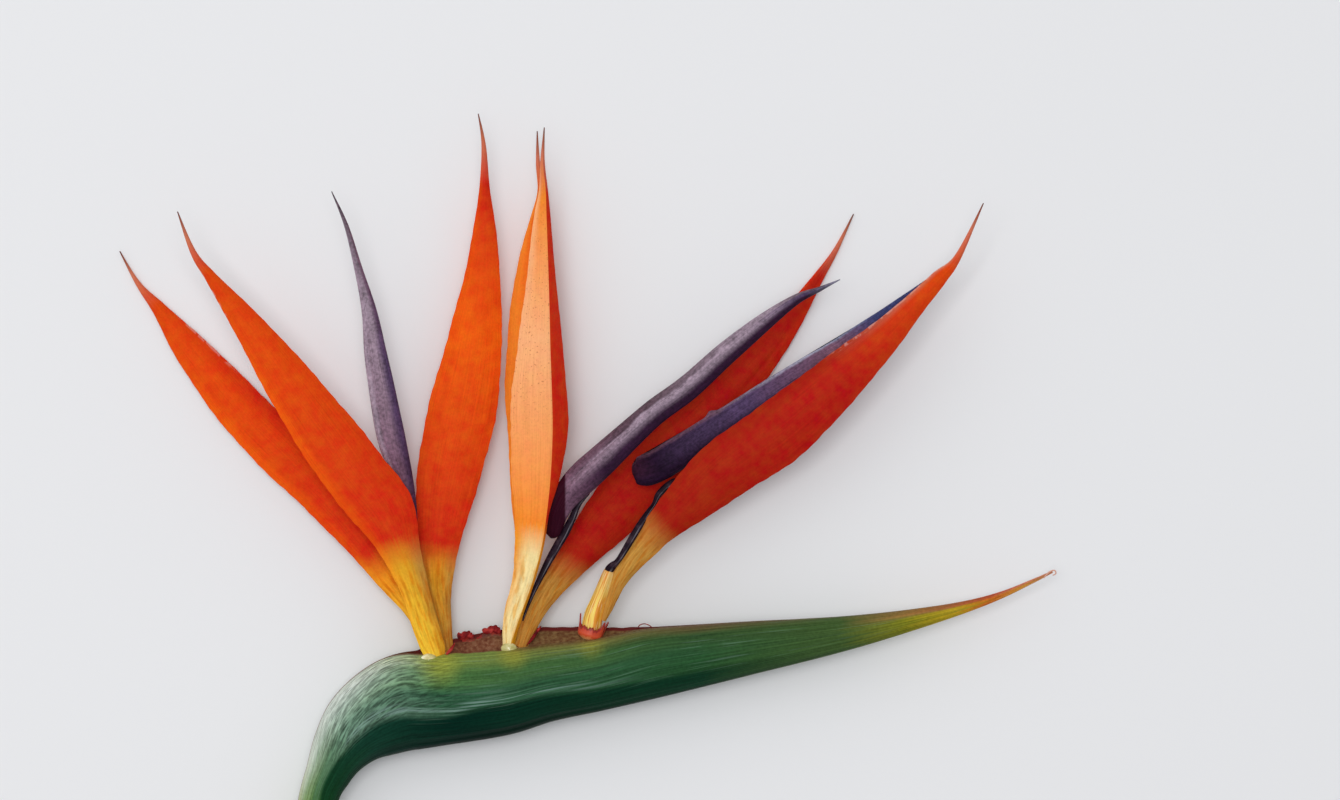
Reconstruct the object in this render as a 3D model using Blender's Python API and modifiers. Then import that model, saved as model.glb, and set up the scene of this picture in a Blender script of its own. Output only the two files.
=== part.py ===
"""Bird of paradise flower: a picked flower head on its cut stem, lying on its side.

The flower lies flat with +X along the beak of the spathe, +Y towards the upright sepals and
+Z up from the table. The origin is under the middle of its box. Lengths below are millimetres.

The stem stands in a socket in the sheath of the spathe, a boat-shaped bract with a slot along
its upper edge. Three florets stand in the slot, each on a fleshy base that carries its orange
sepals and its blue arrow (the two joined petals) on a thin claw.
"""
import math

import bmesh
import bpy
from mathutils import Matrix, Vector

MM = 0.001
GAP = 0.3                 # left between pieces that touch
SEPAL_THICKNESS = 0.9
CLAW_RADIUS = 0.5

SPATHE_MIDDLE_Z = 9.0     # height of the spathe's middle plane above the table
SLOT_HALF_WIDTH = 3.9
SOCKET_TOP_Y = 6.0        # how far the stem reaches up into the sheath
STEM_END_Y = -165.3

SHEATH_SIDES = 20
TUBE_SIDES = 10
BLADE_COLUMNS = 4
ROWS_PER_STATION = 2

COLLECTION_NAME = "bird_of_paradise_flower"

# Spathe, from the sheath to the tip of the beak: x, y, z, height, depth.
SPATHE = [
    (-62.4, -14.0, 6.6, 11.2, 11.2),
    (-61.6, 0.0, 7.2, 9.8, 9.8),
    (-60.0, 11.5, 7.8, 9.0, 9.4),
    (-57.6, 17.7, 8.2, 10.6, 11.0),
    (-54.8, 22.6, 8.6, 13.2, 13.6),
    (-50.9, 26.8, 8.9, 16.4, 15.8),
    (-46.2, 30.0, 9.0, 19.0, 18.2),
    (-40.7, 32.6, 9.0, 21.0, 19.0),
    (-35.0, 34.0, 9.0, 21.6, 19.0),
    (-29.0, 35.6, 9.0, 23.2, 19.0),
    (-18.8, 37.6, 9.0, 23.6, 19.0),
    (-9.2, 39.4, 9.0, 21.4, 18.2),
    (2.1, 40.6, 9.0, 19.0, 16.2),
    (13.9, 42.0, 9.0, 16.4, 14.6),
    (25.5, 43.7, 9.0, 14.2, 13.0),
    (37.2, 45.5, 9.0, 12.0, 11.4),
    (49.5, 47.3, 9.0, 9.6, 9.4),
    (61.0, 49.2, 9.0, 7.3, 7.4),
    (73.2, 51.7, 8.9, 4.9, 5.0),
    (84.8, 54.5, 8.7, 2.8, 3.0),
    (93.5, 57.3, 8.5, 1.6, 1.8),
    (105.2, 62.5, 8.2, 1.0, 1.0),
]
# Slot cut down into the spathe from its upper edge: x, y, z, height, depth.
SLOT = [
    (-41.0, 46.0, SPATHE_MIDDLE_Z, 2.0, 2.0),
    (-37.5, 46.0, SPATHE_MIDDLE_Z, 16.0, 1.7 * SLOT_HALF_WIDTH),
    (-30.0, 46.0, SPATHE_MIDDLE_Z, 22.0, 2.0 * SLOT_HALF_WIDTH),
    (-15.0, 47.0, SPATHE_MIDDLE_Z, 22.0, 2.0 * SLOT_HALF_WIDTH),
    (2.0, 48.0, SPATHE_MIDDLE_Z, 20.0, 2.0 * SLOT_HALF_WIDTH),
    (12.0, 50.0, SPATHE_MIDDLE_Z, 14.0, 1.2 * SLOT_HALF_WIDTH),
    (40.0, 52.5, SPATHE_MIDDLE_Z, 8.0, 1.4),
    (62.0, 54.0, SPATHE_MIDDLE_Z, 2.0, 0.6),
]
# Stem from the socket to the cut end: x, y, z, radius.
STEM = [
    (-61.0, SOCKET_TOP_Y, 7.5, 3.4),
    (-61.7, -2.0, 7.1, 3.8),
    (-62.4, -14.0, 6.6, 4.4),
    (-63.2, -40.0, 6.0, 5.0),
    (-62.8, -80.0, 5.5, 5.3),
    (-60.4, -125.0, 5.4, 5.5),
    (-57.6, STEM_END_Y, 5.44, 5.7),
]

# Sepals, from base to tip along the ridge: x, y, z, width left of it, width right of it.
SEPAL_LEFT_LOW = [
    (-34.2, 44.7, 7.6, 1.2, 1.2),
    (-38.3, 53.6, 7.2, 2.2, 2.2),
    (-43.7, 61.0, 6.4, 3.2, 3.2),
    (-51.5, 71.7, 5.2, 4.7, 4.7),
    (-59.9, 81.6, 4.2, 5.8, 5.8),
    (-68.6, 90.2, 3.6, 6.1, 6.1),
    (-76.1, 97.5, 3.2, 5.6, 5.6),
    (-82.5, 104.9, 2.8, 5.0, 5.0),
    (-89.4, 113.1, 2.3, 3.7, 3.7),
    (-95.9, 121.5, 1.7, 1.7, 1.7),
    (-100.8, 127.4, 1.2, 0.6, 0.6),
    (-105.0, 134.8, 0.95, 0.4, 0.4),
]
SEPAL_LEFT_NEAR = [
    (-34.0, 45.0, 12.1, 2.4, 2.4),
    (-36.1, 51.2, 12.6, 3.0, 3.0),
    (-38.1, 58.1, 13.4, 3.1, 3.1),
    (-41.0, 66.4, 14.6, 4.3, 4.3),
    (-45.0, 76.1, 16.0, 6.8, 6.8),
    (-51.2, 84.2, 17.4, 7.2, 7.2),
    (-58.0, 93.4, 18.6, 6.8, 6.8),
    (-65.0, 103.1, 19.6, 5.8, 5.8),
    (-71.6, 112.5, 20.4, 4.4, 4.4),
    (-78.0, 121.2, 21.0, 2.8, 2.8),
    (-83.7, 128.6, 21.4, 1.4, 1.4),
    (-87.7, 134.2, 21.6, 0.7, 0.7),
    (-91.3, 143.5, 21.8, 0.4, 0.4),
]
SEPAL_LEFT_TALL = [
    (-31.0, 44.5, 7.6, 1.5, 1.5),
    (-31.9, 51.0, 7.7, 1.9, 1.9),
    (-33.0, 57.9, 7.9, 2.9, 2.9),
    (-33.2, 66.0, 8.2, 4.3, 4.3),
    (-32.3, 75.3, 8.6, 5.9, 5.9),
    (-30.5, 85.7, 9.0, 7.2, 7.2),
    (-28.1, 96.8, 9.4, 7.7, 7.7),
    (-26.0, 107.2, 9.8, 7.0, 7.0),
    (-24.4, 117.8, 10.2, 5.7, 5.7),
    (-23.2, 128.0, 10.6, 4.2, 4.2),
    (-22.6, 139.3, 11.0, 2.6, 2.6),
    (-22.6, 149.0, 11.4, 1.2, 1.2),
    (-22.8, 158.6, 11.8, 0.5, 0.5),
    (-24.0, 165.6, 12.2, 0.4, 0.4),
]
SEPAL_MIDDLE_NEAR = [
    (-16.3, 46.6, 11.9, 2.2, 1.0),
    (-14.2, 52.4, 12.7, 4.2, 0.8),
    (-11.4, 60.5, 14.3, 5.0, 0.6),
    (-9.7, 68.5, 16.0, 6.2, 0.5),
    (-8.5, 76.3, 16.9, 7.4, 0.6),
    (-7.7, 84.5, 17.4, 8.8, 2.2),
    (-7.3, 94.5, 17.8, 9.4, 3.5),
    (-7.5, 104.6, 18.2, 8.8, 3.3),
    (-7.8, 113.5, 18.6, 7.3, 2.8),
    (-8.0, 123.6, 18.9, 5.7, 2.0),
    (-8.3, 133.6, 19.1, 4.2, 1.3),
    (-8.6, 142.6, 19.3, 2.8, 0.9),
    (-8.8, 148.6, 19.4, 1.5, 0.5),
    (-9.4, 154.9, 19.4, 0.6, 0.5),
    (-9.1, 162.4, 19.2, 0.4, 0.4),
]
SEPAL_MIDDLE_FAR = [
    (-17.0, 46.4, 7.6, 1.5, 1.5),
    (-16.0, 54.9, 7.6, 2.2, 2.2),
    (-14.2, 60.5, 7.6, 2.6, 2.6),
    (-12.8, 67.8, 7.6, 3.3, 3.3),
    (-12.2, 76.7, 7.6, 4.3, 4.3),
    (-11.9, 84.3, 7.6, 5.0, 5.0),
    (-12.0, 94.3, 7.6, 5.5, 5.5),
    (-12.4, 104.6, 7.6, 5.7, 5.7),
    (-12.3, 113.6, 7.6, 5.3, 5.3),
    (-12.0, 123.8, 7.4, 4.6, 4.6),
    (-11.5, 133.0, 7.2, 3.4, 3.4),
    (-10.7, 141.3, 7.0, 1.9, 1.9),
    (-9.9, 148.1, 6.8, 0.9, 0.9),
    (-10.6, 154.4, 6.6, 0.5, 0.5),
    (-10.8, 161.8, 6.4, 0.4, 0.4),
]
SEPAL_MIDDLE_LOW = [
    (-13.6, 46.8, 8.2, 1.3, 1.3),
    (-10.9, 53.1, 7.8, 1.7, 1.7),
    (-7.4, 59.2, 6.7, 2.7, 2.7),
    (-2.8, 65.1, 6.1, 3.8, 3.8),
    (3.4, 72.7, 5.5, 5.6, 5.6),
    (10.6, 80.7, 5.0, 6.6, 6.6),
    (19.4, 89.3, 4.6, 6.9, 6.9),
    (27.6, 97.9, 4.2, 6.4, 6.4),
    (35.2, 106.3, 3.7, 5.0, 5.0),
    (42.0, 114.0, 3.1, 3.7, 3.7),
    (47.7, 121.5, 2.4, 2.4, 2.4),
    (52.3, 128.5, 1.8, 1.3, 1.3),
    (56.4, 134.9, 1.2, 0.6, 0.6),
    (60.5, 143.2, 0.95, 0.4, 0.4),
]
SEPAL_RIGHT_LOW = [
    (3.0, 51.3, 12.1, 1.2, 1.2),
    (5.1, 55.4, 12.1, 1.4, 1.4),
    (7.8, 60.3, 12.7, 1.7, 1.7),
    (11.7, 65.7, 13.4, 2.5, 2.5),
    (17.3, 72.2, 14.4, 3.8, 3.8),
    (24.1, 78.5, 15.4, 5.2, 5.2),
    (32.3, 86.3, 16.4, 6.9, 6.9),
    (42.3, 93.5, 17.4, 7.5, 7.5),
    (51.1, 100.7, 18.2, 6.7, 6.7),
    (59.4, 108.2, 18.8, 5.3, 5.3),
    (66.8, 115.1, 19.2, 4.0, 4.0),
    (73.5, 122.2, 19.4, 2.6, 2.6),
    (79.5, 128.6, 19.6, 1.8, 1.8),
    (83.7, 133.4, 19.8, 0.8, 0.8),
    (89.4, 145.4, 20.2, 0.4, 0.4),
]

# Arrows, from the blunt end to the tip: x, y, z, width, depth.
ARROW_LEFT = [
    (-33.2, 44.3, 9.3, 1.0, 0.9),
    (-35.0, 55.0, 9.5, 1.0, 0.9),
    (-37.3, 65.3, 10.0, 1.0, 1.0),
    (-38.3, 74.5, 10.6, 1.1, 1.1),
    (-39.6, 78.8, 11.0, 2.8, 2.0),
    (-41.5, 85.7, 11.8, 4.8, 3.0),
    (-43.5, 92.5, 12.6, 6.2, 3.2),
    (-45.2, 101.3, 13.4, 6.0, 3.2),
    (-47.0, 111.4, 14.2, 5.1, 3.0),
    (-48.5, 121.4, 14.8, 3.3, 2.4),
    (-50.8, 130.4, 15.2, 1.8, 1.6),
    (-56.9, 148.1, 15.6, 0.9, 0.9),
]
ARROW_MIDDLE = [
    (-6.6, 70.4, 12.2, 1.6, 1.4),
    (-5.3, 74.6, 12.6, 4.2, 2.6),
    (-2.1, 81.8, 13.4, 6.4, 4.0),
    (4.2, 88.0, 14.0, 6.2, 4.6),
    (13.1, 96.3, 14.4, 5.6, 4.6),
    (23.0, 103.9, 14.6, 5.6, 4.6),
    (31.8, 111.8, 14.8, 5.1, 4.2),
    (40.1, 118.6, 15.0, 3.9, 3.2),
    (47.2, 123.7, 15.2, 2.4, 2.2),
    (52.8, 126.2, 15.3, 1.1, 1.1),
    (57.3, 128.3, 15.4, 0.8, 0.8),
]
ARROW_MIDDLE_CLAW = [
    (-14.9, 46.3, 10.2),
    (-13.2, 54.0, 10.3),
    (-10.6, 60.4, 10.5),
    (-8.6, 64.2, 10.8),
    (-5.4, 68.4, 11.2),
    (-2.6, 75.0, 12.4),
    (-1.6, 79.6, 13.2),
]
ARROW_RIGHT = [
    (10.9, 85.6, 9.6, 1.6, 1.4),
    (12.2, 85.8, 9.6, 6.0, 3.4),
    (15.6, 86.6, 9.8, 8.0, 4.2),
    (22.6, 90.6, 10.4, 7.0, 4.4),
    (34.8, 98.6, 11.6, 5.7, 4.2),
    (46.8, 106.3, 12.6, 5.3, 4.0),
    (57.1, 112.8, 13.4, 4.3, 3.4),
    (66.3, 119.2, 14.2, 3.6, 2.8),
    (74.3, 125.3, 14.8, 2.4, 2.0),
    (78.9, 129.8, 15.2, 0.9, 0.9),
]
ARROW_RIGHT_CLAW = [
    (5.3, 62.5, 9.1),
    (8.4, 67.2, 9.8),
    (12.2, 72.7, 9.9),
    (15.2, 78.4, 9.8),
    (16.8, 83.4, 9.7),
]

# Floret bases, from the foot in the slot to the top: x, y, z, width, depth.
FLORET_BASE_LEFT = [
    (-33.0, 38.4, SPATHE_MIDDLE_Z, 4.0, 3.2),
    (-33.0, 41.0, SPATHE_MIDDLE_Z, 6.4, 5.6),
    (-33.0, 43.9, SPATHE_MIDDLE_Z, 7.0, 6.8),
]
FLORET_BASE_MIDDLE = [
    (-15.8, 39.4, SPATHE_MIDDLE_Z, 4.0, 3.2),
    (-15.8, 42.0, SPATHE_MIDDLE_Z, 6.6, 5.8),
    (-15.8, 45.9, SPATHE_MIDDLE_Z, 7.2, 7.1),
]
FLORET_BASE_RIGHT = [
    (-0.8, 40.6, SPATHE_MIDDLE_Z, 3.4, 3.0),
    (-0.4, 43.6, SPATHE_MIDDLE_Z, 5.0, 4.6),
    (0.5, 48.2, SPATHE_MIDDLE_Z, 5.0, 4.4),
    (1.6, 52.4, SPATHE_MIDDLE_Z, 4.2, 3.4),
    (3.2, 57.4, SPATHE_MIDDLE_Z, 3.4, 3.0),
    (5.0, 62.0, SPATHE_MIDDLE_Z, 1.8, 1.6),
]

# Dry bracteoles standing in the slot between the florets: x and y of the top edge.
BRACTEOLE_LEFT = [(-28.0, 47.0), (-25.4, 48.4), (-22.6, 48.6), (-20.4, 49.2)]
BRACTEOLE_MIDDLE = [(-11.4, 49.6), (-8.6, 50.3), (-5.6, 50.2), (-3.6, 50.6)]
BRACTEOLE_DEPTH_Y = 8.0
BRACTEOLE_THICKNESS = 0.7
CUP_THICKNESS = 0.4
CUP_MIDDLE = (0.6, 48.8, SPATHE_MIDDLE_Z)
CUP_RADIUS = 2.95
CUP_HEIGHT = 4.0
CUP_LEAN = 12.0           # degrees, with the floret it wraps


def smooth(stations, steps):
    """Points of a Catmull-Rom curve through the stations, steps to each span."""
    ends = [stations[0], *stations, stations[-1]]
    points = []
    for before, start, end, after in zip(ends, ends[1:], ends[2:], ends[3:]):
        for step in range(steps):
            t = step / steps
            points.append(tuple(
                0.5 * (2 * b + (c - a) * t + (2 * a - 5 * b + 4 * c - d) * t ** 2
                       + (3 * b - a - 3 * c + d) * t ** 3)
                for a, b, c, d in zip(before, start, end, after)))
    points.append(tuple(stations[-1]))
    return points


def tangent(points, index):
    """Unit direction of the curve at one of its points, in the plane of the flower."""
    before = points[max(index - 1, 0)]
    after = points[min(index + 1, len(points) - 1)]
    return Vector((after[0] - before[0], after[1] - before[1], 0.0)).normalized()


def material(name, colour, roughness):
    """A plain Principled material."""
    new = bpy.data.materials.new(name)
    new.use_nodes = True
    shader = new.node_tree.nodes["Principled BSDF"]
    shader.inputs["Base Color"].default_value = (*colour, 1.0)
    shader.inputs["Roughness"].default_value = roughness
    return new


def add_object(name, bm, finish, collection):
    """Scale a mesh drawn in millimetres to metres and link it as a named object."""
    bmesh.ops.scale(bm, vec=Vector((MM, MM, MM)), verts=bm.verts)
    mesh = bpy.data.meshes.new(name)
    bm.to_mesh(mesh)
    bm.free()
    mesh.shade_smooth()
    obj = bpy.data.objects.new(name, mesh)
    obj.data.materials.append(finish)
    collection.objects.link(obj)
    return obj


def blade(name, stations, drop_left, drop_right, finish, collection):
    """A sepal: a grid laid along its ridge, arched across, made solid downwards."""
    rows = smooth(stations, ROWS_PER_STATION)
    last = len(rows) - 1
    bm = bmesh.new()
    bmesh.ops.create_grid(bm, x_segments=BLADE_COLUMNS, y_segments=last, size=1.0)
    for vert in bm.verts:
        across = vert.co.x
        index = round((vert.co.y + 1.0) / 2.0 * last)
        x, y, z, left, right = rows[index]
        along = tangent(rows, index)
        width, drop = (right, drop_right) if across > 0.0 else (left, drop_left)
        sideways = Vector((along.y, -along.x, 0.0)) * across * width
        lower = drop * width * abs(across) ** 1.6
        vert.co = Vector((x, y, z - lower)) + sideways
    obj = add_object(name, bm, finish, collection)
    solid = obj.modifiers.new("sepal_thickness", 'SOLIDIFY')
    solid.thickness = SEPAL_THICKNESS * MM
    solid.offset = -1.0
    return obj


def tube(name, stations, sides, finish, collection, keel=0.0):
    """Oval rings across a smooth line, bridged and capped; keel narrows their lower side."""
    rings = smooth(stations, ROWS_PER_STATION)
    bm = bmesh.new()
    loops = []
    for index, (x, y, z, height, depth) in enumerate(rings):
        along = tangent(rings, index)
        upward = Vector((-along.y, along.x, 0.0))
        place = Matrix((upward, Vector((0.0, 0.0, 1.0)), along)).transposed().to_4x4()
        place.translation = (x, y, z)
        ring = bmesh.ops.create_circle(bm, segments=sides, radius=0.5)["verts"]
        for vert in ring:
            pinch = 1.0 - keel * (0.5 - vert.co.x) ** 2
            vert.co = place @ Vector((vert.co.x * height, vert.co.y * depth * pinch, 0.0))
        loops.append(list({edge for vert in ring for edge in vert.link_edges}))
    for first, second in zip(loops, loops[1:]):
        bmesh.ops.bridge_loops(bm, edges=first + second)
    bmesh.ops.holes_fill(bm, edges=loops[0] + loops[-1], sides=0)
    bmesh.ops.recalc_face_normals(bm, faces=bm.faces)
    return add_object(name, bm, finish, collection)


def hide_helper(obj):
    """Show a cutter or a joined-on piece as a wire only."""
    obj.hide_render = True
    obj.display_type = 'WIRE'


def combine(obj, helper, operation):
    """Boolean an object with a hidden helper."""
    hide_helper(helper)
    boolean = obj.modifiers.new(helper.name, 'BOOLEAN')
    boolean.operation = operation
    boolean.solver = 'EXACT'
    boolean.object = helper


def make_stem(finish, collection):
    """The stem: a bevelled curve whose radius grows towards the cut end."""
    data = bpy.data.curves.new("stem", 'CURVE')
    data.dimensions = '3D'
    data.bevel_depth = MM
    data.bevel_resolution = 3
    data.use_fill_caps = True
    points = smooth(STEM, 4)
    spline = data.splines.new('POLY')
    spline.points.add(len(points) - 1)
    for point, (x, y, z, radius) in zip(spline.points, points):
        point.co = (x * MM, y * MM, z * MM, 1.0)
        point.radius = radius
    data.materials.append(finish)
    obj = bpy.data.objects.new("stem", data)
    collection.objects.link(obj)


def make_spathe(finish, collection, helpers):
    """The boat-shaped bract, with the florets' slot and the stem's socket cut out of it."""
    spathe = tube("spathe", SPATHE, SHEATH_SIDES, finish, collection, keel=0.22)
    slot = tube("spathe_slot", SLOT, SHEATH_SIDES, finish, helpers)
    combine(spathe, slot, 'DIFFERENCE')
    bore = []
    for x, y, z, radius in STEM[:5]:
        width = 2.0 * (radius + GAP) / math.cos(math.pi / SHEATH_SIDES)
        bore.append((x, y, z, width, width))
    x, y, *rest = bore[0]
    bore[0] = (x, y + 2.0 * GAP, *rest)
    socket = tube("stem_socket", bore, SHEATH_SIDES, finish, helpers)
    combine(spathe, socket, 'DIFFERENCE')


def make_arrow(name, body, claw, finish, collection, helpers):
    """The arrow's blade, with its claw joined on."""
    arrow = tube(name, body, TUBE_SIDES, finish, collection)
    line = [(*point, 2 * CLAW_RADIUS, 2 * CLAW_RADIUS) for point in claw]
    joined = tube(name + "_claw", line, TUBE_SIDES, finish, helpers)
    combine(arrow, joined, 'UNION')


def make_bracteole(name, top_edge, finish, collection):
    """A dry strip standing in the slot close to its far wall."""
    columns = smooth(top_edge, 3)
    last = len(columns) - 1
    far_wall = SPATHE_MIDDLE_Z - SLOT_HALF_WIDTH + GAP
    bm = bmesh.new()
    bmesh.ops.create_grid(bm, x_segments=last, y_segments=3, size=1.0)
    for vert in bm.verts:
        x, top = columns[round((vert.co.x + 1.0) / 2.0 * last)]
        down = (1.0 - vert.co.y) / 2.0
        vert.co = Vector((x, top - BRACTEOLE_DEPTH_Y * down, far_wall + 1.2 * down))
    obj = add_object(name, bm, finish, collection)
    solid = obj.modifiers.new("bracteole_thickness", 'SOLIDIFY')
    solid.thickness = BRACTEOLE_THICKNESS * MM
    solid.offset = 1.0


def make_cup(finish, collection):
    """The torn cup round the foot of the right-hand floret."""
    bm = bmesh.new()
    lean = Matrix.Rotation(math.radians(-CUP_LEAN), 4, 'Z')
    upright = Matrix.Rotation(math.radians(-90.0), 4, 'X')
    bmesh.ops.create_cone(bm, cap_ends=False, segments=16, radius1=CUP_RADIUS,
                          radius2=CUP_RADIUS, depth=CUP_HEIGHT,
                          matrix=Matrix.Translation(CUP_MIDDLE) @ lean @ upright)
    obj = add_object("bracteole_right", bm, finish, collection)
    solid = obj.modifiers.new("bracteole_thickness", 'SOLIDIFY')
    solid.thickness = CUP_THICKNESS * MM
    solid.offset = 1.0


def clear_scene():
    """Start from an empty file."""
    for obj in list(bpy.data.objects):
        bpy.data.objects.remove(obj, do_unlink=True)


def build():
    """Make every piece of the flower."""
    clear_scene()
    flower = bpy.data.collections.new(COLLECTION_NAME)
    helpers = bpy.data.collections.new("cutters")
    for collection in (flower, helpers):
        bpy.context.scene.collection.children.link(collection)

    stem_green = material("stem_green", (0.10, 0.24, 0.07), 0.45)
    spathe_green = material("spathe_green", (0.03, 0.13, 0.08), 0.4)
    base_yellow = material("base_yellow", (0.85, 0.62, 0.25), 0.5)
    sepal_red = material("sepal_red", (0.80, 0.13, 0.02), 0.5)
    sepal_orange = material("sepal_orange", (0.90, 0.35, 0.10), 0.5)
    arrow_violet = material("arrow_violet", (0.10, 0.07, 0.18), 0.5)
    bract_brown = material("bract_brown", (0.33, 0.10, 0.06), 0.7)

    make_stem(stem_green, flower)
    make_spathe(spathe_green, flower, helpers)
    for name, stations in (("floret_base_left", FLORET_BASE_LEFT),
                           ("floret_base_middle", FLORET_BASE_MIDDLE),
                           ("floret_base_right", FLORET_BASE_RIGHT)):
        tube(name, stations, TUBE_SIDES, base_yellow, flower)
    blade("sepal_left_low", SEPAL_LEFT_LOW, 0.2, 0.2, sepal_red, flower)
    blade("sepal_left_near", SEPAL_LEFT_NEAR, 0.2, 0.2, sepal_red, flower)
    blade("sepal_left_tall", SEPAL_LEFT_TALL, 0.2, 0.2, sepal_red, flower)
    blade("sepal_middle_near", SEPAL_MIDDLE_NEAR, 0.16, 0.9, sepal_orange, flower)
    blade("sepal_middle_far", SEPAL_MIDDLE_FAR, 0.2, 0.2, sepal_orange, flower)
    blade("sepal_middle_low", SEPAL_MIDDLE_LOW, 0.15, 0.15, sepal_red, flower)
    blade("sepal_right_low", SEPAL_RIGHT_LOW, 0.2, 0.2, sepal_red, flower)
    tube("arrow_left", ARROW_LEFT, TUBE_SIDES, arrow_violet, flower)
    make_arrow("arrow_middle", ARROW_MIDDLE, ARROW_MIDDLE_CLAW, arrow_violet, flower, helpers)
    make_arrow("arrow_right", ARROW_RIGHT, ARROW_RIGHT_CLAW, arrow_violet, flower, helpers)
    make_bracteole("bracteole_left", BRACTEOLE_LEFT, bract_brown, flower)
    make_bracteole("bracteole_middle", BRACTEOLE_MIDDLE, bract_brown, flower)
    make_cup(bract_brown, flower)


build()
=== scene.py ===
"""A picked bird of paradise flower lying on a pale table, seen from straight above.

+X runs along the beak of the spathe, +Y towards the upright sepals and +Z up from the table.
The lists of stations below are millimetres. Colours are display values from 0 to 255.
"""

import bmesh
import bpy
import numpy as np
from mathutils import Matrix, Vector


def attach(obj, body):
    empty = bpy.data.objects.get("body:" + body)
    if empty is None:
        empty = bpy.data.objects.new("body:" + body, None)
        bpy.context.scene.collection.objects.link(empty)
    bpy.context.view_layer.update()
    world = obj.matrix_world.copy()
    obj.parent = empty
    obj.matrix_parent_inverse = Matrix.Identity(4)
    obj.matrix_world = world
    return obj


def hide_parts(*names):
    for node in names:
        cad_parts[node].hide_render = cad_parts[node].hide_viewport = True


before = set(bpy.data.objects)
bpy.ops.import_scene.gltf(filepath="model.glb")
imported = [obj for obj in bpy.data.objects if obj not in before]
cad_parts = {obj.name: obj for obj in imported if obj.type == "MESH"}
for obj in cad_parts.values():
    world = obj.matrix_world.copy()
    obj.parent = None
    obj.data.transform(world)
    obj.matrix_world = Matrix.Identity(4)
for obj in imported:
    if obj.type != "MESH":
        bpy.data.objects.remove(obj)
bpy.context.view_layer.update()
MM = 0.001


# ---- Stem ---------------------------------------------------------------------------------
# The stalk that the flower was cut with: fleshy, round, waxy green, a little thicker towards
# the straight cut at its end. Its top stands in the sheath of the spathe.

def new_sheet(name, across, along):
    """Add a flat grid, and give how far across and along it each of its points is, 0 to 1."""
    bpy.ops.object.select_all(action='DESELECT')
    bpy.ops.mesh.primitive_grid_add(x_subdivisions=across, y_subdivisions=along, size=1.0,
                                    calc_uvs=True, location=(0.0, 0.0, 0.0))
    piece = bpy.context.object
    piece.name = name
    piece.data.name = name
    flat = np.empty(3 * len(piece.data.vertices))
    piece.data.vertices.foreach_get("co", flat)
    flat = flat.reshape(-1, 3)
    return piece, flat[:, 0] + 0.5, flat[:, 1] + 0.5


def follow(stations, share):
    """Values of a smooth curve through the stations at a share of its length, and its heading."""
    knots = np.array([stations[0], *stations, stations[-1]], float)
    step = np.linspace(0.0, 1.0, 24, endpoint=False)[:, None]
    spans = [0.5 * (2 * b + (c - a) * step + (2 * a - 5 * b + 4 * c - d) * step ** 2
                    + (3 * b - a - 3 * c + d) * step ** 3)
             for a, b, c, d in zip(knots, knots[1:], knots[2:], knots[3:])]
    curve = np.vstack([*spans, knots[-1:]])
    length = np.cumsum(np.linalg.norm(np.diff(curve[:, :3], axis=0, prepend=curve[:1, :3]), axis=1))
    slope = np.gradient(curve[:, :3], length, axis=0)
    length /= length[-1]
    values = np.stack([np.interp(share, length, column) for column in curve.T], axis=1)
    heading = np.stack([np.interp(share, length, column) for column in slope.T], axis=1)
    return values, heading / np.linalg.norm(heading, axis=1, keepdims=True)


def sideways(heading):
    """Level direction to the right of a heading."""
    side = np.stack([heading[:, 1], -heading[:, 0], np.zeros(len(heading))], axis=1)
    return side / np.linalg.norm(side, axis=1, keepdims=True)


def shape(piece, points):
    """Move the sheet's points to their places, close it into a solid and smooth it."""
    piece.data.vertices.foreach_set("co", (points * MM).ravel())
    piece.data.update()
    bpy.ops.object.mode_set(mode='EDIT')
    bpy.ops.mesh.select_mode(type='EDGE')
    bpy.ops.mesh.select_all(action='SELECT')
    bpy.ops.mesh.remove_doubles(threshold=1e-6)
    bpy.ops.mesh.select_all(action='DESELECT')
    bpy.ops.mesh.select_non_manifold(extend=False, use_wire=False, use_boundary=True,
                                     use_multi_face=False, use_non_contiguous=False,
                                     use_verts=False)
    bpy.ops.mesh.fill_holes(sides=0)
    bpy.ops.mesh.select_all(action='SELECT')
    bpy.ops.mesh.normals_make_consistent(inside=False)
    solid = bmesh.from_edit_mesh(piece.data)
    if solid.calc_volume(signed=True) < 0.0:
        bpy.ops.mesh.flip_normals()
    bpy.ops.object.mode_set(mode='OBJECT')
    bpy.ops.object.shade_smooth_by_angle(angle=1.2)
    return piece


def finish_piece(piece, finish, slot, *nodes):
    """Give a piece its finish, attach it to the root and hide the CAD nodes it stands for; slot is not
    used.
    """
    piece.data.materials.clear()
    piece.data.materials.append(finish)
    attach(piece, "root")
    if nodes:
        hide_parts(*nodes)


def colour(red, green, blue):
    """A display colour as the linear RGBA that a shader takes."""
    return (*[((c / 255 + 0.055) / 1.055) ** 2.4 for c in (red, green, blue)], 1.0)


def add_node(tree, kind, inputs, **settings):
    """Add a shader node, set its settings, and set or link its inputs."""
    node = tree.nodes.new("ShaderNode" + kind)
    for key, value in settings.items():
        setattr(node, key, value)
    for key, value in inputs.items():
        if isinstance(value, bpy.types.NodeSocket):
            tree.links.new(value, node.inputs[key])
        else:
            node.inputs[key].default_value = value
    return node


def calc(tree, operation, a, b=0.0, c=0.0):
    return add_node(tree, "Math", {0: a, 1: b, 2: c}, operation=operation).outputs[0]


def fade(tree, value, low, high):
    """0 below low, 1 above high, and a smooth rise between them."""
    return add_node(tree, "MapRange", {"Value": value, "From Min": low, "From Max": high},
                    interpolation_type='SMOOTHSTEP').outputs["Result"]


def mix(tree, share, first, second, blend='MIX'):
    return add_node(tree, "Mix", {0: share, 6: first, 7: second}, data_type='RGBA',
                    blend_type=blend).outputs[2]


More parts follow.
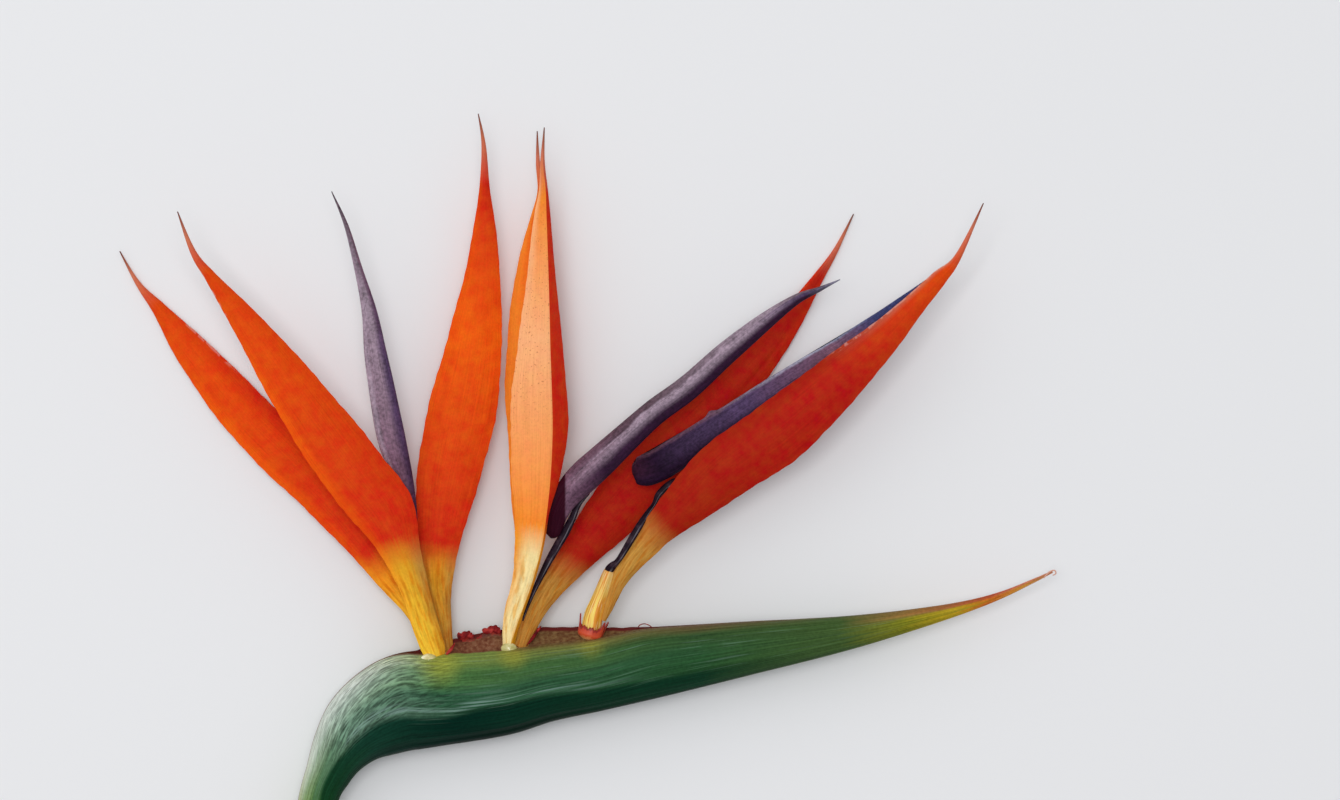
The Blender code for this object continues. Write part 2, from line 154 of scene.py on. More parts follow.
def ramp(tree, value, *stops):
    """A colour ramp through (place, colour) stops."""
    node = add_node(tree, "ValToRGB", {0: value})
    elements = node.color_ramp.elements
    while len(elements) < len(stops):
        elements.new(1.0)
    for element, (place, tint) in zip(elements, stops):
        element.position = place
        element.color = colour(*tint)
    return node.outputs[0]


def noise(tree, vector, scale, detail=3.0):
    return add_node(tree, "TexNoise", {"Vector": vector, "Scale": scale, "Detail": detail}
                    ).outputs[0]


def grain(tree, across, along, fine, long):
    """Noise drawn out along a piece: fine streaks across it, long ones along it."""
    stretched = add_node(tree, "CombineXYZ", {0: calc(tree, 'MULTIPLY', across, fine),
                                              1: calc(tree, 'MULTIPLY', along, long)})
    return noise(tree, stretched.outputs[0], 1.0)


def lighten(tree, tint, *parts):
    """Make a colour lighter and darker where each (pattern, strength) is above or below half."""
    value = 1.0
    for pattern, strength in parts:
        away = calc(tree, 'SUBTRACT', pattern, 0.5)
        value = calc(tree, 'MULTIPLY_ADD', away, strength, value)
    return add_node(tree, "HueSaturation", {"Value": value, "Color": tint}).outputs[0]


def new_finish(name, roughness, gloss):
    """A new material, with the across and along coordinates of its piece and the place."""
    finish = bpy.data.materials.new(name)
    finish.use_nodes = True
    tree = finish.node_tree
    shader = tree.nodes["Principled BSDF"]
    shader.inputs["Roughness"].default_value = roughness
    shader.inputs["Specular IOR Level"].default_value = gloss
    place = tree.nodes.new("ShaderNodeTexCoord")
    split = add_node(tree, "SeparateXYZ", {0: place.outputs["UV"]})
    return finish, tree, shader, split.outputs[0], split.outputs[1], place.outputs["Object"]


def bump(tree, shader, height, distance, strength=1.0):
    node = add_node(tree, "Bump", {"Height": height, "Distance": distance, "Strength": strength})
    tree.links.new(node.outputs[0], shader.inputs["Normal"])


STEM_LINE = [
    (-61.0, 6.0, 7.5, 3.4),
    (-61.7, -2.0, 7.1, 3.8),
    (-62.4, -14.0, 6.6, 4.4),
    (-63.2, -40.0, 6.0, 5.0),
    (-62.8, -80.0, 5.5, 5.3),
    (-60.4, -125.0, 5.4, 5.5),
    (-57.6, -165.3, 5.44, 5.7),
]


def make_stem():
    piece, u, v = new_sheet("stem_stalk", 64, 220)
    rows, heading = follow(STEM_LINE, v)
    side = sideways(heading)
    up = np.cross(side, heading)
    turn = 2 * np.pi * u
    ribs = 0.035 * np.sin(18 * turn + 0.8 * np.sin(9 * v)) + 0.06 * np.sin(3 * turn + 7 * v)
    radius = (rows[:, 3] - 0.12 + ribs)[:, None]
    points = rows[:, :3] + radius * (-np.cos(turn)[:, None] * side + np.sin(turn)[:, None] * up)
    points[:, 2] = np.maximum(points[:, 2], 0.02)
    shape(piece, points)
    # The cut: a raised skin, a shallow dish inside it and fibres across the face.
    bpy.ops.object.mode_set(mode='EDIT')
    bpy.ops.mesh.select_mode(type='FACE')
    bpy.ops.mesh.select_all(action='DESELECT')
    mesh = bmesh.from_edit_mesh(piece.data)
    mesh.faces.ensure_lookup_table()
    end = min((face for face in mesh.faces if len(face.verts) > 8),
              key=lambda face: face.calc_center_median().y)
    end.select = True
    bmesh.update_edit_mesh(piece.data)
    bpy.ops.mesh.inset(thickness=0.45 * MM)
    bpy.ops.transform.translate(value=(0.0, 0.35 * MM, 0.0))
    bpy.ops.mesh.inset(thickness=0.9 * MM)
    bpy.ops.mesh.inset(thickness=2.4 * MM)
    bpy.ops.transform.translate(value=(0.0, 0.25 * MM, 0.0))
    bpy.ops.mesh.poke()
    bpy.ops.object.mode_set(mode='OBJECT')
    bpy.ops.object.shade_smooth_by_angle(angle=0.7)
    return piece


def stem_finish():
    finish, tree, shader, u, v, place = new_finish("stem_waxy_green", 0.42, 0.35)
    skin = ramp(tree, v, (0.0, (92, 128, 56)), (0.12, (74, 122, 58)), (0.6, (64, 112, 52)),
                (1.0, (70, 110, 50)))
    streaks = grain(tree, u, v, 70.0, 6.0)
    skin = mix(tree, fade(tree, streaks, 0.40, 0.68), skin, colour(96, 146, 74))
    bloom = noise(tree, place, 55.0)
    skin = mix(tree, calc(tree, 'MULTIPLY', fade(tree, bloom, 0.46, 0.72), 0.45), skin,
               colour(128, 158, 122))
    specks = noise(tree, place, 900.0, 1.0)
    skin = mix(tree, calc(tree, 'MULTIPLY', fade(tree, specks, 0.72, 0.76), 0.6), skin,
               colour(88, 72, 40))
    # The last two millimetres are the cut face: wet pale flesh with darker fibre ends.
    ends = noise(tree, place, 1500.0, 1.0)
    flesh = mix(tree, fade(tree, ends, 0.45, 0.62), colour(196, 206, 150), colour(126, 138, 78))
    height = add_node(tree, "SeparateXYZ", {0: place}).outputs[1]
    cut = fade(tree, calc(tree, 'MULTIPLY', height, -1.0), 0.16525, 0.1654)
    tree.links.new(mix(tree, cut, skin, flesh), shader.inputs["Base Color"])
    bump(tree, shader, streaks, 0.00012)
    return finish


finish_piece(make_stem(), stem_finish(), "stem_green", "stem")


# ---- Spathe -------------------------------------------------------------------------------
# The boat-shaped bract: a thick, ribbed, waxy leaf folded along its keel. Its lower end wraps
# the stem as a sheath, its margins part where the florets stand, and they close again to make
# the long beak. The far margin stands 4 mm higher than the near one at the mouth.

# x, y, z, height, depth, half opening at the mouth, how much lower the near margin is
SPATHE_LINE = [
    (-62.4, -14.0, 6.6, 11.2, 11.2, 0.06, 0.0),
    (-61.6, 0.0, 7.2, 9.8, 9.8, 0.06, 0.0),
    (-60.0, 11.5, 7.8, 9.0, 9.4, 0.06, 0.0),
    (-57.6, 17.7, 8.2, 10.6, 11.0, 0.06, 0.0),
    (-54.9, 22.8, 8.6, 13.6, 13.6, 0.06, 0.0),
    (-51.2, 27.3, 8.9, 17.4, 15.8, 0.06, 0.0),
    (-46.6, 30.6, 9.0, 20.2, 18.2, 0.06, 0.0),
    (-41.0, 33.1, 9.0, 22.0, 19.0, 0.3, 0.05),
    (-35.0, 34.2, 9.0, 22.2, 19.0, 1.8, 1.0),
    (-29.0, 35.6, 9.0, 23.2, 19.0, 2.8, 2.7),
    (-18.8, 37.6, 9.0, 23.6, 19.0, 2.9, 4.4),
    (-9.2, 39.4, 9.0, 21.4, 18.2, 2.7, 3.8),
    (2.1, 40.6, 9.0, 19.0, 16.2, 2.0, 2.5),
    (13.9, 42.0, 9.0, 16.4, 14.6, 0.5, 0.4),
    (25.5, 43.7, 9.0, 14.2, 13.0, 0.16, 0.1),
    (37.2, 45.5, 9.0, 12.0, 11.4, 0.1, 0.0),
    (49.5, 47.3, 9.0, 9.6, 9.4, 0.08, 0.0),
    (61.0, 49.2, 9.0, 7.3, 7.4, 0.06, 0.0),
    (73.2, 51.7, 8.9, 4.9, 5.0, 0.05, 0.0),
    (84.8, 54.5, 8.7, 2.8, 3.0, 0.04, 0.0),
    (93.5, 57.3, 8.5, 1.6, 1.8, 0.03, 0.0),
    (101.0, 60.6, 8.3, 0.9, 1.0, 0.02, 0.0),
    (105.2, 62.6, 8.2, 0.5, 0.6, 0.02, 0.0),
]


def hump(value, middle, reach, power=2):
    """1 at the middle, and 0 well outside its reach."""
    return np.exp(-np.abs((value - middle) / reach) ** power)


def make_spathe():
    piece, u, v = new_sheet("spathe_bract", 208, 320)
    rows, heading = follow(SPATHE_LINE, v)
    height, depth, opening, lower = rows[:, 3:].T
    up = -sideways(heading)
    # The outer face is the first half of the way round, from the far margin down to the keel
    # and up to the near one. The inner face is the second half, back again.
    inner = u > 0.5
    q = np.where(inner, 2.0 - 2.0 * u, 2.0 * u)
    near = q > 0.5
    rise = np.abs(2.0 * q - 1.0)
    mouth = hump(v, 0.42, 0.125, 6)
    full = np.pi - np.arcsin(np.minimum(opening / (0.5 * depth), 0.95))
    angle = rise * full
    side_height = np.where(near, height - lower, height)
    h = -0.5 * height + side_height * (1 - np.cos(angle)) / (1 - np.cos(full))
    # The far margin stands up flat behind the florets.
    upright = np.minimum(rise / 0.8, 1.0) * full
    bulge = np.where(near, angle, angle + (upright - angle) * mouth)
    z = 0.5 * depth * np.sin(bulge) * (1 - 0.055 * (1 + np.cos(angle)) ** 2)
    z = np.where(near, z, -z)
    # Ribs along the flanks, wrinkles round the bend, a raised rib at the middle and a fold
    # beside the keel.
    flank = np.sin(np.clip(rise, 0.0, 1.0) * np.pi) ** 0.5
    ribs = 0.025 * np.sin(2 * np.pi * (31 * rise + 1.2 * np.sin(5 * v))) * flank
    bend = hump(v, 0.25, 0.085) * hump(rise, 0.58, 0.24)
    creases = np.sin(2 * np.pi * (19 * rise - 11 * v) + 2.2 * np.sin(41 * v)) * (
        0.6 + 0.4 * np.sin(2 * np.pi * 29 * v + 13 * rise))
    rib_rise = 0.48 - 0.045 * hump(v, 0.30, 0.05) - 0.04 * hump(v, 0.48, 0.06)
    main_rib = hump(rise, rib_rise, 0.03) * hump(v, 0.36, 0.15)
    fold = hump(rise, 0.17, 0.03) * hump(v, 0.38, 0.17)
    relief = 1.0 + (ribs + 0.08 * bend * creases * flank + 0.17 * main_rib - 0.22 * fold) / (
        0.5 * depth)
    # The two faces meet at the margins in a rounded edge.
    wall = np.minimum(0.9, 0.3 * depth) * np.sqrt(np.clip((1.0 - rise) / 0.03, 0.0, 1.0))
    thin_h = np.where(inner, 1 - 2 * wall / height, relief)
    thin_z = np.where(inner, 1 - 2 * wall / depth, relief)
    # Margins: finely torn along the mouth, and the far one thickened inside below its edge.
    torn = np.clip(rise - 0.93, 0.0, 1.0) / 0.07
    jag = (np.sin(190 * v) + np.sin(83 * v + 1.0) + np.sin(331 * v + 2.0)) / 3.0
    h = h * thin_h + torn ** 2 * mouth * 0.22 * jag
    throat = np.clip((1.0 - rise) / 0.22, 0.0, 1.0) * np.clip((rise - 0.2) / 0.35, 0.0, 1.0)
    z = z * thin_z + np.where(inner & ~near, 3.0 * mouth * throat, 0.0)
    points = rows[:, :3] + h[:, None] * up
    points[:, 2] += z
    points[:, 2] = np.maximum(points[:, 2], 0.02)
    return shape(piece, points)


def near_spot(tree, place, x, y, reach):
    """1 above a spot on the table, fading to 0 at its reach. All in millimetres."""
    flat = add_node(tree, "VectorMath", {0: place, 1: (1.0, 1.0, 0.0)}, operation='MULTIPLY')
    apart = add_node(tree, "VectorMath", {0: flat.outputs[0], 1: (x * MM, y * MM, 0.0)},
                     operation='DISTANCE')
    return fade(tree, apart.outputs["Value"], reach * MM, 0.0)


def beak_stops(sheath, bend, mouth, beak, dry=False):
    """Greens along a band of the spathe, then the ripe beak: olive, gold, rust and a dry tip."""
    ripe = [(0.83, (150, 115, 60)), (0.93, (190, 85, 55))] if dry else [
        (0.83, (125, 125, 30)), (0.89, (190, 160, 35)), (0.925, (215, 110, 40)),
        (0.96, (230, 165, 70))]
    return [(0.10, sheath), (0.21, bend), (0.32, mouth), (0.60, beak), (0.76, (65, 90, 45)),
            *ripe, (1.0, (225, 155, 120))]


def spathe_finish():
    finish, tree, shader, u, v, place = new_finish("spathe_ribbed_green", 0.42, 0.03)
    doubled = calc(tree, 'FRACT', calc(tree, 'MULTIPLY', u, 2.0))
    rise = calc(tree, 'MULTIPLY', calc(tree, 'ABSOLUTE', calc(tree, 'SUBTRACT', doubled, 0.5)), 2.0)
    slant = calc(tree, 'MULTIPLY_ADD', v, -0.42, u)
    streaks = grain(tree, u, v, 210.0, 9.0)
    broad = grain(tree, u, v, 60.0, 5.0)
    wrinkles = fade(tree, grain(tree, slant, v, 230.0, 62.0), 0.38, 0.62)
    # The dark underside, painted shade, is deepest at the sheath, narrows at the bend and again to the tip.
    sheath = calc(tree, 'MULTIPLY', fade(tree, v, 0.19, 0.15), fade(tree, v, 0.10, 0.15))
    level = calc(tree, 'MULTIPLY_ADD', sheath, -0.045, rise)
    bend = calc(tree, 'MULTIPLY', fade(tree, v, 0.23, 0.29), fade(tree, v, 0.37, 0.31))
    level = calc(tree, 'MULTIPLY_ADD', bend, 0.045, level)
    level = calc(tree, 'MULTIPLY_ADD', fade(tree, v, 0.38, 0.60), 0.11, level)
    wander = calc(tree, 'MULTIPLY_ADD', calc(tree, 'SUBTRACT', broad, 0.5), 0.07, v)
    # Five bands from the keel up to the margin: colour at the sheath, bend, mouth and beak.
    # Darker towards the keel, lighter towards the margin: partly the bract's greens, partly painted shade
    # below and painted light above.
    keel = ramp(tree, wander, *beak_stops((20, 60, 30), (10, 45, 35), (0, 25, 20), (0, 40, 20)))
    low = ramp(tree, wander, *beak_stops((20, 65, 30), (20, 60, 45), (0, 40, 30), (15, 55, 35)))
    middle = ramp(tree, wander, *beak_stops((55, 100, 35), (100, 130, 110), (45, 85, 60),
                                            (40, 80, 45)))
    high = ramp(tree, wander, *beak_stops((110, 140, 60), (140, 165, 145), (70, 110, 60),
                                          (50, 80, 45), dry=True))
    lip = ramp(tree, wander, *beak_stops((170, 180, 120), (215, 225, 210), (120, 145, 70),
                                         (105, 90, 55), dry=True))
    base = mix(tree, fade(tree, level, 0.12, 0.28), keel, low)
    base = mix(tree, fade(tree, level, 0.415, 0.495), base, middle)
    base = mix(tree, fade(tree, rise, 0.56, 0.68), base, high)
    base = mix(tree, fade(tree, rise, 0.72, 0.90), base, lip)
    # Yellow-green where the feet of the florets press through.
    for x, y, reach, strength in ((-32.6, 42.6, 7.0, 0.50), (-16.2, 44.4, 5.0, 0.50),
                                  (1.2, 46.4, 4.6, 0.35)):
        glow = calc(tree, 'MULTIPLY', near_spot(tree, place, x, y, reach), strength)
        base = mix(tree, glow, base, colour(170, 166, 56))
    # Fine fibres, broader ribs, painted shade and light in the bend's creases and a few pale threads along
    # the flank.
    on_bend = calc(tree, 'MULTIPLY', fade(tree, v, 0.15, 0.20), fade(tree, v, 0.37, 0.27))
    on_bend = calc(tree, 'MULTIPLY', on_bend, fade(tree, rise, 0.34, 0.50))
    crinkle = calc(tree, 'MULTIPLY_ADD', calc(tree, 'SUBTRACT', wrinkles, 0.5), on_bend, 0.5)
    base = lighten(tree, base, (streaks, 1.5), (broad, 0.4), (crinkle, 0.80),
                   (noise(tree, place, 1500.0, 2.0), 0.6))
    threads = fade(tree, grain(tree, u, v, 210.0, 12.0), 0.58, 0.70)
    threads = calc(tree, 'MULTIPLY', threads, fade(tree, level, 0.36, 0.48))
    base = mix(tree, calc(tree, 'MULTIPLY', threads, 0.30), base, colour(112, 144, 124))
    # A painted highlight along the raised middle rib, in broken streaks.
    rib_highlight = calc(tree, 'MULTIPLY', fade(tree, level, 0.46, 0.49), fade(tree, level, 0.55, 0.51))
    rib_highlight = calc(tree, 'MULTIPLY', rib_highlight, calc(tree, 'MULTIPLY', fade(tree, v, 0.17, 0.22),
                                               fade(tree, v, 0.56, 0.40)))
    rib_highlight = calc(tree, 'MULTIPLY', rib_highlight, fade(tree, grain(tree, u, v, 230.0, 9.0), 0.44, 0.60))
    base = mix(tree, calc(tree, 'MULTIPLY', rib_highlight, 0.60), base, colour(132, 162, 152))
    # Pale wax on the outside of the bend, in broken streaks, with a painted highlight of its gloss.
    wax_and_sheen = calc(tree, 'MULTIPLY', fade(tree, v, 0.10, 0.17), fade(tree, v, 0.29, 0.23))
    wax_and_sheen = calc(tree, 'MULTIPLY', wax_and_sheen, fade(tree, rise, 0.60, 0.86))
    wax_and_sheen = calc(tree, 'MULTIPLY', wax_and_sheen, calc(tree, 'MULTIPLY_ADD', wrinkles, 0.55, 0.45))
    base = mix(tree, calc(tree, 'MULTIPLY', wax_and_sheen, 0.70), base, colour(222, 228, 222))
    # A broken olive-tan edge along the keel: partly the dry keel edge, partly painted rim light.
    keel_edge_and_rim_light = calc(tree, 'MULTIPLY', fade(tree, rise, 0.060, 0.015), fade(tree, broad, 0.36, 0.56))
    base = mix(tree, calc(tree, 'MULTIPLY', keel_edge_and_rim_light, 0.75), base, colour(138, 136, 84))
    # Brown, dry margins, and the brown inner face that shows behind the florets.
    flecks = noise(tree, place, 1200.0, 4.0)
    mauve = ramp(tree, flecks, (0.30, (98, 52, 38)), (0.5, (122, 76, 54)), (0.72, (144, 104, 78)))
    olive = ramp(tree, flecks, (0.30, (92, 56, 36)), (0.5, (114, 82, 52)), (0.72, (136, 108, 70)))
    brown = mix(tree, fade(tree, v, 0.37, 0.42), mauve, olive)
    edge = calc(tree, 'MULTIPLY_ADD', fade(tree, v, 0.26, 0.34), 0.04, 0.93)
    margin = calc(tree, 'MAXIMUM', fade(tree, calc(tree, 'SUBTRACT', rise, edge), 0.0, 0.03),
                  calc(tree, 'MULTIPLY', fade(tree, rise, 0.86, 0.99),
                       calc(tree, 'MULTIPLY', fade(tree, v, 0.38, 0.42), fade(tree, v, 0.9, 0.6))))
    base = mix(tree, calc(tree, 'MULTIPLY', margin, 0.85), base, brown)
    inside = fade(tree, u, 0.499, 0.501)
    base = mix(tree, inside, base, brown)
    far_edge = calc(tree, 'MAXIMUM', fade(tree, u, 0.014, 0.006), fade(tree, u, 0.993, 0.997))
    far_edge = calc(tree, 'MULTIPLY', far_edge, calc(tree, 'MULTIPLY', fade(tree, v, 0.27, 0.30),
                                                     fade(tree, v, 0.66, 0.56)))
    base = mix(tree, far_edge, base, colour(96, 34, 32))
    tree.links.new(base, shader.inputs["Base Color"])
    bump(tree, shader, calc(tree, 'ADD', streaks, crinkle), 0.00016)
    return finish


finish_piece(make_spathe(), spathe_finish(), "spathe_green", "spathe")


# ---- Floret bases -------------------------------------------------------------------------
# Each floret stands on a fleshy yellow foot in the mouth of the spathe. Only the right-hand
# one stands clear of it, where two of its sepals have gone.

def make_rod(name, stations, around, along, relief=None):
    """A solid rod through stations of x, y, z, width and depth, round at both ends."""
    piece, u, v = new_sheet(name, around, along)
    rows, heading = follow(stations, 0.5 - 0.5 * np.cos(np.pi * v))
    side = sideways(heading)
    up = np.cross(side, heading)
    turn = 2 * np.pi * u
    swell = np.ones(len(u)) if relief is None else relief(u, v)
    across = -0.5 * rows[:, 3] * np.cos(turn) * swell
    over = 0.5 * rows[:, 4] * np.sin(turn) * swell
    points = rows[:, :3] + across[:, None] * side + over[:, None] * up
    return shape(piece, points)


FLORET_FEET = {
    "left": [(-33.0, 38.6, 9.0, 1.0, 1.0), (-33.0, 39.4, 9.0, 4.0, 3.6), (-33.0, 41.0, 9.0, 5.6, 5.0),
             (-33.0, 43.4, 9.0, 6.0, 5.8), (-33.1, 44.4, 9.0, 3.0, 3.0)],
    "middle": [(-15.8, 39.6, 9.0, 1.0, 1.0), (-15.8, 40.4, 9.0, 4.0, 3.6), (-15.8, 42.0, 9.0, 5.6, 5.0),
               (-15.8, 44.4, 9.0, 6.0, 5.6), (-15.8, 45.6, 9.0, 3.0, 3.0)],
    "right": [(-0.9, 41.0, 8.4, 1.0, 1.0), (-0.5, 42.4, 8.4, 2.0, 2.0), (0.5, 46.4, 8.6, 2.2, 2.2),
              (1.0, 48.4, 9.2, 3.0, 3.2), (1.4, 49.8, 9.4, 4.2, 4.2), (2.0, 52.9, 9.8, 4.2, 4.2),
              (3.1, 56.3, 10.4, 3.4, 3.6), (4.3, 59.6, 10.9, 2.9, 3.0),
              (5.1, 61.9, 11.1, 2.6, 2.6), (5.7, 63.3, 11.1, 2.0, 1.8), (5.9, 63.9, 11.1, 0.8, 0.8)],
}


def fluted(u, v):
    """Shallow flutes along a fleshy foot."""
    return 1.0 + 0.035 * np.sin(2 * np.pi * 7 * u + 2.0 * v) + 0.02 * np.sin(2 * np.pi * 17 * u)


def foot_finish():
    finish, tree, shader, u, v, place = new_finish("floret_yellow_flesh", 0.34, 0.30)
    streaks = grain(tree, u, v, 30.0, 3.0)
    fine = grain(tree, u, v, 90.0, 8.0)
    lit = ramp(tree, v, (0.1, (240, 205, 140)), (0.55, (250, 215, 95)), (1.0, (215, 165, 120)))
    base = mix(tree, fade(tree, streaks, 0.46, 0.60), lit, colour(226, 140, 30))
    # Painted glints along the flesh.
    painted_glints = fade(tree, fine, 0.60, 0.68)
    base = mix(tree, calc(tree, 'MULTIPLY', painted_glints, 0.7), base, colour(255, 246, 206))
    tree.links.new(base, shader.inputs["Base Color"])
    bump(tree, shader, streaks, 0.0002)
    return finish


# The dry curl at the tip of the beak is a thin rod too, so it is made here.
dry_tip, tree, shader, u, v, place = new_finish("spathe_dry_tip", 0.6, 0.1)
shader.inputs["Base Color"].default_value = colour(214, 160, 140)
finish_piece(make_rod("spathe_tip_curl", [(103.2, 61.2, 8.6, 0.3, 0.3), (104.4, 62.5, 8.8, 0.35, 0.3),
                                          (105.6, 62.9, 9.0, 0.3, 0.25),
                                          (105.9, 62.2, 9.1, 0.3, 0.25),
                                          (105.2, 61.8, 9.2, 0.2, 0.2)], 16, 40),
             dry_tip, "spathe_green")
floret_yellow = foot_finish()
for foot, stations in FLORET_FEET.items():
    finish_piece(make_rod("floret_foot_" + foot, stations, 48, 80, fluted), floret_yellow,
                 "base_yellow", "floret_base_" + foot)


def make_bead(name, place, half_size):
    """A drop of nectar, a small flattened bead."""
    bpy.ops.object.select_all(action='DESELECT')
    bpy.ops.mesh.primitive_uv_sphere_add(segments=48, ring_count=24, radius=1.0,
                                         location=[value * MM for value in place])
    piece = bpy.context.object
    piece.name = name
    piece.data.name = name
    piece.scale = [value * MM for value in half_size]
    bpy.ops.object.transform_apply(location=True, rotation=True, scale=True)
    bpy.ops.object.shade_smooth()
    return piece


nectar, tree, shader, u, v, place = new_finish("nectar_bead", 0.10, 0.5)
# Pale yellows are the nectar's own tint; the near-white patches are painted glints.
bead_patches = noise(tree, place, 420.0)
bead_tint_and_glints = ramp(tree, bead_patches, (0.36, (176, 168, 96)), (0.5, (212, 200, 140)), (0.66, (252, 250, 222)))
tree.links.new(bead_tint_and_glints, shader.inputs["Base Color"])
finish_piece(make_bead("nectar_bead_left", (-35.0, 42.8, 12.7), (2.0, 1.5, 1.1)), nectar,
             "base_yellow")
finish_piece(make_bead("nectar_bead_middle", (-17.1, 45.4, 11.8), (1.8, 1.3, 0.9)), nectar,
             "base_yellow")


# ---- Bracteoles ---------------------------------------------------------------------------
# Dry, torn, red-brown scales round the florets' feet: ragged strips along the far margin
# beside the left-hand and middle florets, and a torn cup round the right-hand one.

def make_scale(name, top_edge, foot_y, z, seed):
    """A thin upright strip with a torn upper edge."""
    piece, u, v = new_sheet(name, 200, 24)
    along = np.abs(2.0 * u - 1.0)
    rows, heading = follow([(*point, z) for point in top_edge], along)
    front = u < 0.5
    teeth = (np.sin((61 + seed) * along) + np.sin((113 - seed) * along + seed)
             + np.sin((211 + seed) * along + 2 * seed)) / 3.0
    top = rows[:, 1] - 0.15 + 0.16 * np.abs(teeth) ** 0.7 * np.sign(teeth)
    y = foot_y + (top - foot_y) * v
    thick = 0.5 * np.sqrt(v * (1 - v)) * np.sin(np.pi * along) ** 0.4
    curl = 0.2 * np.sin(11 * along + seed) * v ** 2
    lean = 1.2 * (1 - v)
    points = np.stack([rows[:, 0] + 0.3 * np.sin(23 * along) * v, y,
                       z + lean + curl + np.where(front, thick, -thick)], axis=1)
    return shape(piece, points)


def scale_finish():
    finish, tree, shader, u, v, place = new_finish("bracteole_dry_red", 0.62, 0.2)
    patches = noise(tree, place, 520.0)
    red = ramp(tree, patches, (0.34, (112, 20, 22)), (0.48, (160, 36, 30)), (0.62, (180, 54, 42)),
               (0.76, (184, 92, 78)))
    mauve = ramp(tree, patches, (0.36, (104, 56, 44)), (0.52, (122, 76, 56)), (0.68, (140, 100, 76)))
    edge = fade(tree, calc(tree, 'MULTIPLY_ADD', calc(tree, 'SUBTRACT', patches, 0.5), 0.7, v),
                0.76, 0.96)
    tree.links.new(mix(tree, edge, mauve, red), shader.inputs["Base Color"])
    bump(tree, shader, patches, 0.0003)
    return finish


dry_red = scale_finish()
finish_piece(make_scale("bracteole_strip_left", [(-29.4, 45.6), (-27.6, 47.3), (-25.8, 48.3),
                                                 (-24.3, 47.7), (-22.8, 49.3), (-20.0, 49.9),
                                                 (-18.8, 49.0)],
                        42.6, 6.4, 3), dry_red, "bract_brown", "bracteole_left")
finish_piece(make_scale("bracteole_strip_middle", [(-13.6, 46.8), (-12.4, 48.6), (-11.0, 50.2),
                                                   (-9.8, 49.6), (-7.2, 49.5), (-4.4, 49.4)],
                        43.6, 6.4, 8), dry_red, "bract_brown", "bracteole_middle")
dark_red, tree, shader, u, v, place = new_finish("bracteole_shred_red", 0.6, 0.1)
shred_tint = ramp(tree, noise(tree, place, 700.0), (0.36, (84, 10, 16)), (0.5, (130, 22, 24)),
                  (0.66, (176, 56, 50)))
tree.links.new(shred_tint, shader.inputs["Base Color"])
finish_piece(make_rod("bracteole_shred_left", [(-31.4, 43.4, 12.2, 0.1, 0.1), (-30.9, 44.3, 12.5, 0.6, 0.3),
                                               (-30.0, 45.4, 12.3, 0.7, 0.3),
                                               (-29.3, 46.6, 11.9, 0.2, 0.2)], 16, 24),
             dark_red, "bract_brown")
finish_piece(make_rod("bracteole_shred_middle", [(-13.2, 46.0, 9.6, 0.1, 0.1), (-12.2, 47.2, 9.8, 0.6, 0.4),
                                                 (-10.9, 49.0, 9.2, 0.7, 0.4),
                                                 (-9.9, 50.4, 8.8, 0.2, 0.2)], 16, 24),
             dark_red, "bract_brown")


# Two torn flaps of the strip, which lie over the margin, and a thin loose fibre by the cup.

def ragged(u, v):
    """An uneven width, for a torn flap."""
    return 1.0 + 0.20 * np.sin(14 * v + 2 * np.pi * u) + 0.16 * np.sin(37 * v * v + 4 * np.pi * u)


finish_piece(make_rod("bracteole_flap_low", [(-28.7, 48.0, 7.8, 0.9, 0.4), (-28.2, 48.1, 8.0, 1.6, 0.5),
                                             (-27.0, 48.4, 8.1, 1.4, 0.5),
                                             (-25.9, 48.3, 8.1, 1.6, 0.5),
                                             (-25.2, 48.0, 7.8, 0.9, 0.4)], 48, 60, ragged),
             dark_red, "bract_brown")
finish_piece(make_rod("bracteole_flap_high", [(-23.0, 49.0, 7.8, 0.9, 0.4), (-22.3, 49.3, 8.0, 1.4, 0.5),
                                              (-21.0, 49.6, 8.1, 1.5, 0.5),
                                              (-19.8, 49.5, 8.1, 1.7, 0.5),
                                              (-19.1, 49.0, 7.8, 0.9, 0.4)], 48, 60, ragged),
             dark_red, "bract_brown")
finish_piece(make_rod("bracteole_fibre", [(11.8, 49.8, 9.0, 0.16, 0.16), (12.3, 50.6, 9.3, 0.22, 0.22),
                                          (13.4, 50.9, 9.4, 0.22, 0.22),
                                          (14.5, 50.5, 9.3, 0.22, 0.22),
                                          (15.2, 49.9, 9.0, 0.16, 0.16)], 12, 40),
             dark_red, "bract_brown")


def make_cup():
    """The torn cup: a shallow bowl round the foot, with a long tooth on each side."""
    piece, u, v = new_sheet("bracteole_cup", 120, 40)
    turn = 2 * np.pi * u
    outer = v < 0.5
    wall = np.where(outer, 2 * v, 2 - 2 * v)
    torn = 0.22 * np.sin(9 * turn) + 0.18 * np.sin(23 * turn + 1.0)
    teeth = 2.6 * (hump(u, 0.0, 0.022) + hump(u, 1.0, 0.022)) + 2.3 * hump(u, 0.49, 0.030)
    teeth += 2.2 * hump(u, 0.40, 0.026)
    tall = 2.9 + torn + teeth
    radius = 2.8 * np.sin(0.5 * np.pi * np.minimum(0.15 + 0.6 * wall * tall, 1.0)) ** 0.7
    radius += 0.28 * teeth * wall ** 2
    radius -= np.where(outer, 0.0, 0.28)
    across = -radius * np.cos(turn)
    over = radius * np.sin(turn)
    lean = np.radians(16.0)
    axis = np.array([np.sin(lean), np.cos(lean), 0.0])
    side = np.array([np.cos(lean), -np.sin(lean), 0.0])
    points = np.array([0.7, 47.1, 9.6]) + across[:, None] * side + (tall * wall)[:, None] * axis
    points[:, 2] += over
    return shape(piece, points)


